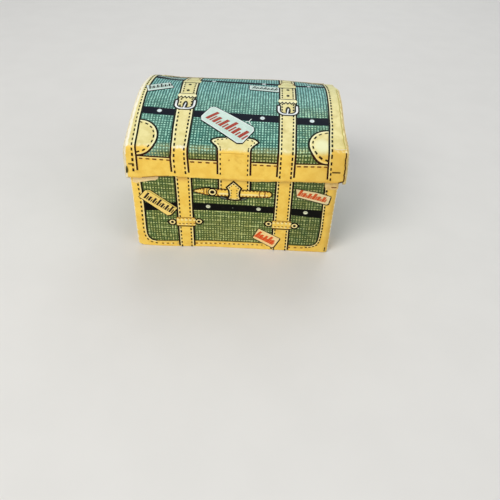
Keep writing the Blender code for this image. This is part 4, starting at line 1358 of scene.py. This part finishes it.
def make_hinge():
    """One creased strip of paper from the back wall to the rear edge of the dome."""
    half = DOME_HALF
    dome = [((DOME_RADIUS + 0.27) * math.sin(half - t), DOME_CENTRE + (DOME_RADIUS + 0.27) * math.cos(half - t))
            for t in [(0.5 + 0.25 * i) / DOME_RADIUS for i in range(11)]]
    path = [(25.67, 27.0), (25.67, 30.0), (25.67, 33.0), (25.67, 34.6), (25.67, 34.95), (25.68, 35.15), (25.72, 35.35),
            (25.8, 35.6), (25.87, 35.85), (25.88, 36.05), (25.8, 36.2), (25.62, 36.32)] + dome
    lay, lengths = along(path)
    wide = BASE_HALF - CORNER - 1.2
    total = float(lengths[-1])
    bm = bmesh.new()
    side = steps_between(0.4, total - 0.4, 0.6)
    outline = [(-wide, 0.02), (wide, 0.02)] + [(wide + 0.6 * wobble(v, 4), v) for v in side]
    outline += [(wide, total - 0.02), (-wide, total - 0.02)] + [(-wide - 0.6 * wobble(v, 7), v) for v in side[::-1]]
    slab(bm, outline, -0.15, 0)
    cuts = (steps_between(-26, 26, 4), [float(v) for v in lengths[1:-1]] + steps_between(8.2, 9.6, 0.1))
    piece = lay_object("hinge_paper_strip", bm, lay, cuts, [FINISHES["strip"]], None)
    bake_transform(piece)
    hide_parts("hinge_strip_base_leaf", "hinge_strip_lid_leaf")


make_papers()
make_boards()
make_hinge()

front = Print("front", "base", "base_print", on_wall(-1, FRONT_Y), WALL_CUTS, "base")
base_front(front)
front.lay_all()
back = Print("back", "base", "base_print", on_wall(1, BACK_Y), WALL_CUTS, "base")
base_wall(back, False)
back.lay_all()
lid_print = Print("lid", "lid", "lid_print", on_lid, LID_CUTS, "lid")
lid_top(lid_print)
lid_print.lay_all()
for side, word in ((-1, "left"), (1, "right")):
    end_print = Print("base_" + word, "base", "base_print", on_base_end(side), END_CUTS, "base")
    base_end(end_print)
    end_print.lay_all()
    arch_print = Print("lid_" + word, "lid", "lid_print", on_lid_end(side), END_CUTS, "lid")
    lid_end(arch_print)
    arch_print.lay_all()


# Floor, light and camera
def plain(name, colour, roughness):
    f = Finish(name, roughness, 0.2)
    place = f.node("TexCoord").outputs["Object"]
    grain = f.noise(place, 60.0, 3.0, 0.5)
    return f.done(f.mix(f.between(grain, 0.3, 0.7, 0.0, 0.15), colour, linear(214, 212, 207)), None, grain, 0.1)


floor_mesh = bpy.data.meshes.new("floor")
reach = 3.0
floor_mesh.from_pydata([(-reach, -reach, 0), (reach, -reach, 0), (reach, reach, 0), (-reach, reach, 0)], [],
                       [(0, 1, 2, 3)])
floor_mesh.materials.append(plain("pale_floor", linear(228, 226, 221), 0.7))
floor = bpy.data.objects.new("floor", floor_mesh)
floor.location.z = -0.02 * MM
bpy.context.scene.collection.objects.link(floor)


def lamp(name, place, size, watts, colour):
    data = bpy.data.lights.new(name, "AREA")
    data.shape = "DISK"
    data.size = size
    data.energy = watts
    data.color = colour
    made = bpy.data.objects.new(name, data)
    bpy.context.scene.collection.objects.link(made)
    made.location = place
    aim = Vector((0, 0, 0.02)) - Vector(place)
    made.rotation_euler = aim.to_track_quat("-Z", "Y").to_euler()


lamp("window", (-0.34, -0.42, 0.52), 0.42, 3.0, (1.0, 0.985, 0.955))
lamp("fill", (0.50, -0.34, 0.30), 0.5, 0.9, (0.96, 0.98, 1.0))
lamp("sky", (0.05, 0.42, 0.50), 0.5, 1.3, (0.95, 0.98, 1.0))

world = bpy.data.worlds.new("studio")
world.use_nodes = True
world.node_tree.nodes["Background"].inputs["Color"].default_value = (0.93, 0.95, 1.0, 1)
world.node_tree.nodes["Background"].inputs["Strength"].default_value = 0.36
bpy.context.scene.world = world
bpy.context.scene.view_settings.view_transform = "Standard"

camera_data = bpy.data.cameras.new("camera")
camera_data.sensor_width = 36.0
camera_data.lens = 36.0
camera_data.clip_start = 0.005
camera_data.clip_end = 20.0
camera = bpy.data.objects.new("camera", camera_data)
bpy.context.scene.collection.objects.link(camera)
turn = Vector((2.26921, 0.06587, 0.01197))
view = Matrix.Rotation(turn.length, 3, turn.normalized())
shift = Vector((-5.28868, -0.68796, 163.03828))
eye = -(view.transposed() @ shift) + Vector((0, FRONT_Y, 0))
flip = Matrix(((1, 0, 0), (0, -1, 0), (0, 0, -1)))
camera.matrix_world = Matrix.Translation(eye * MM) @ (view.transposed() @ flip).to_4x4()
bpy.context.scene.camera = camera
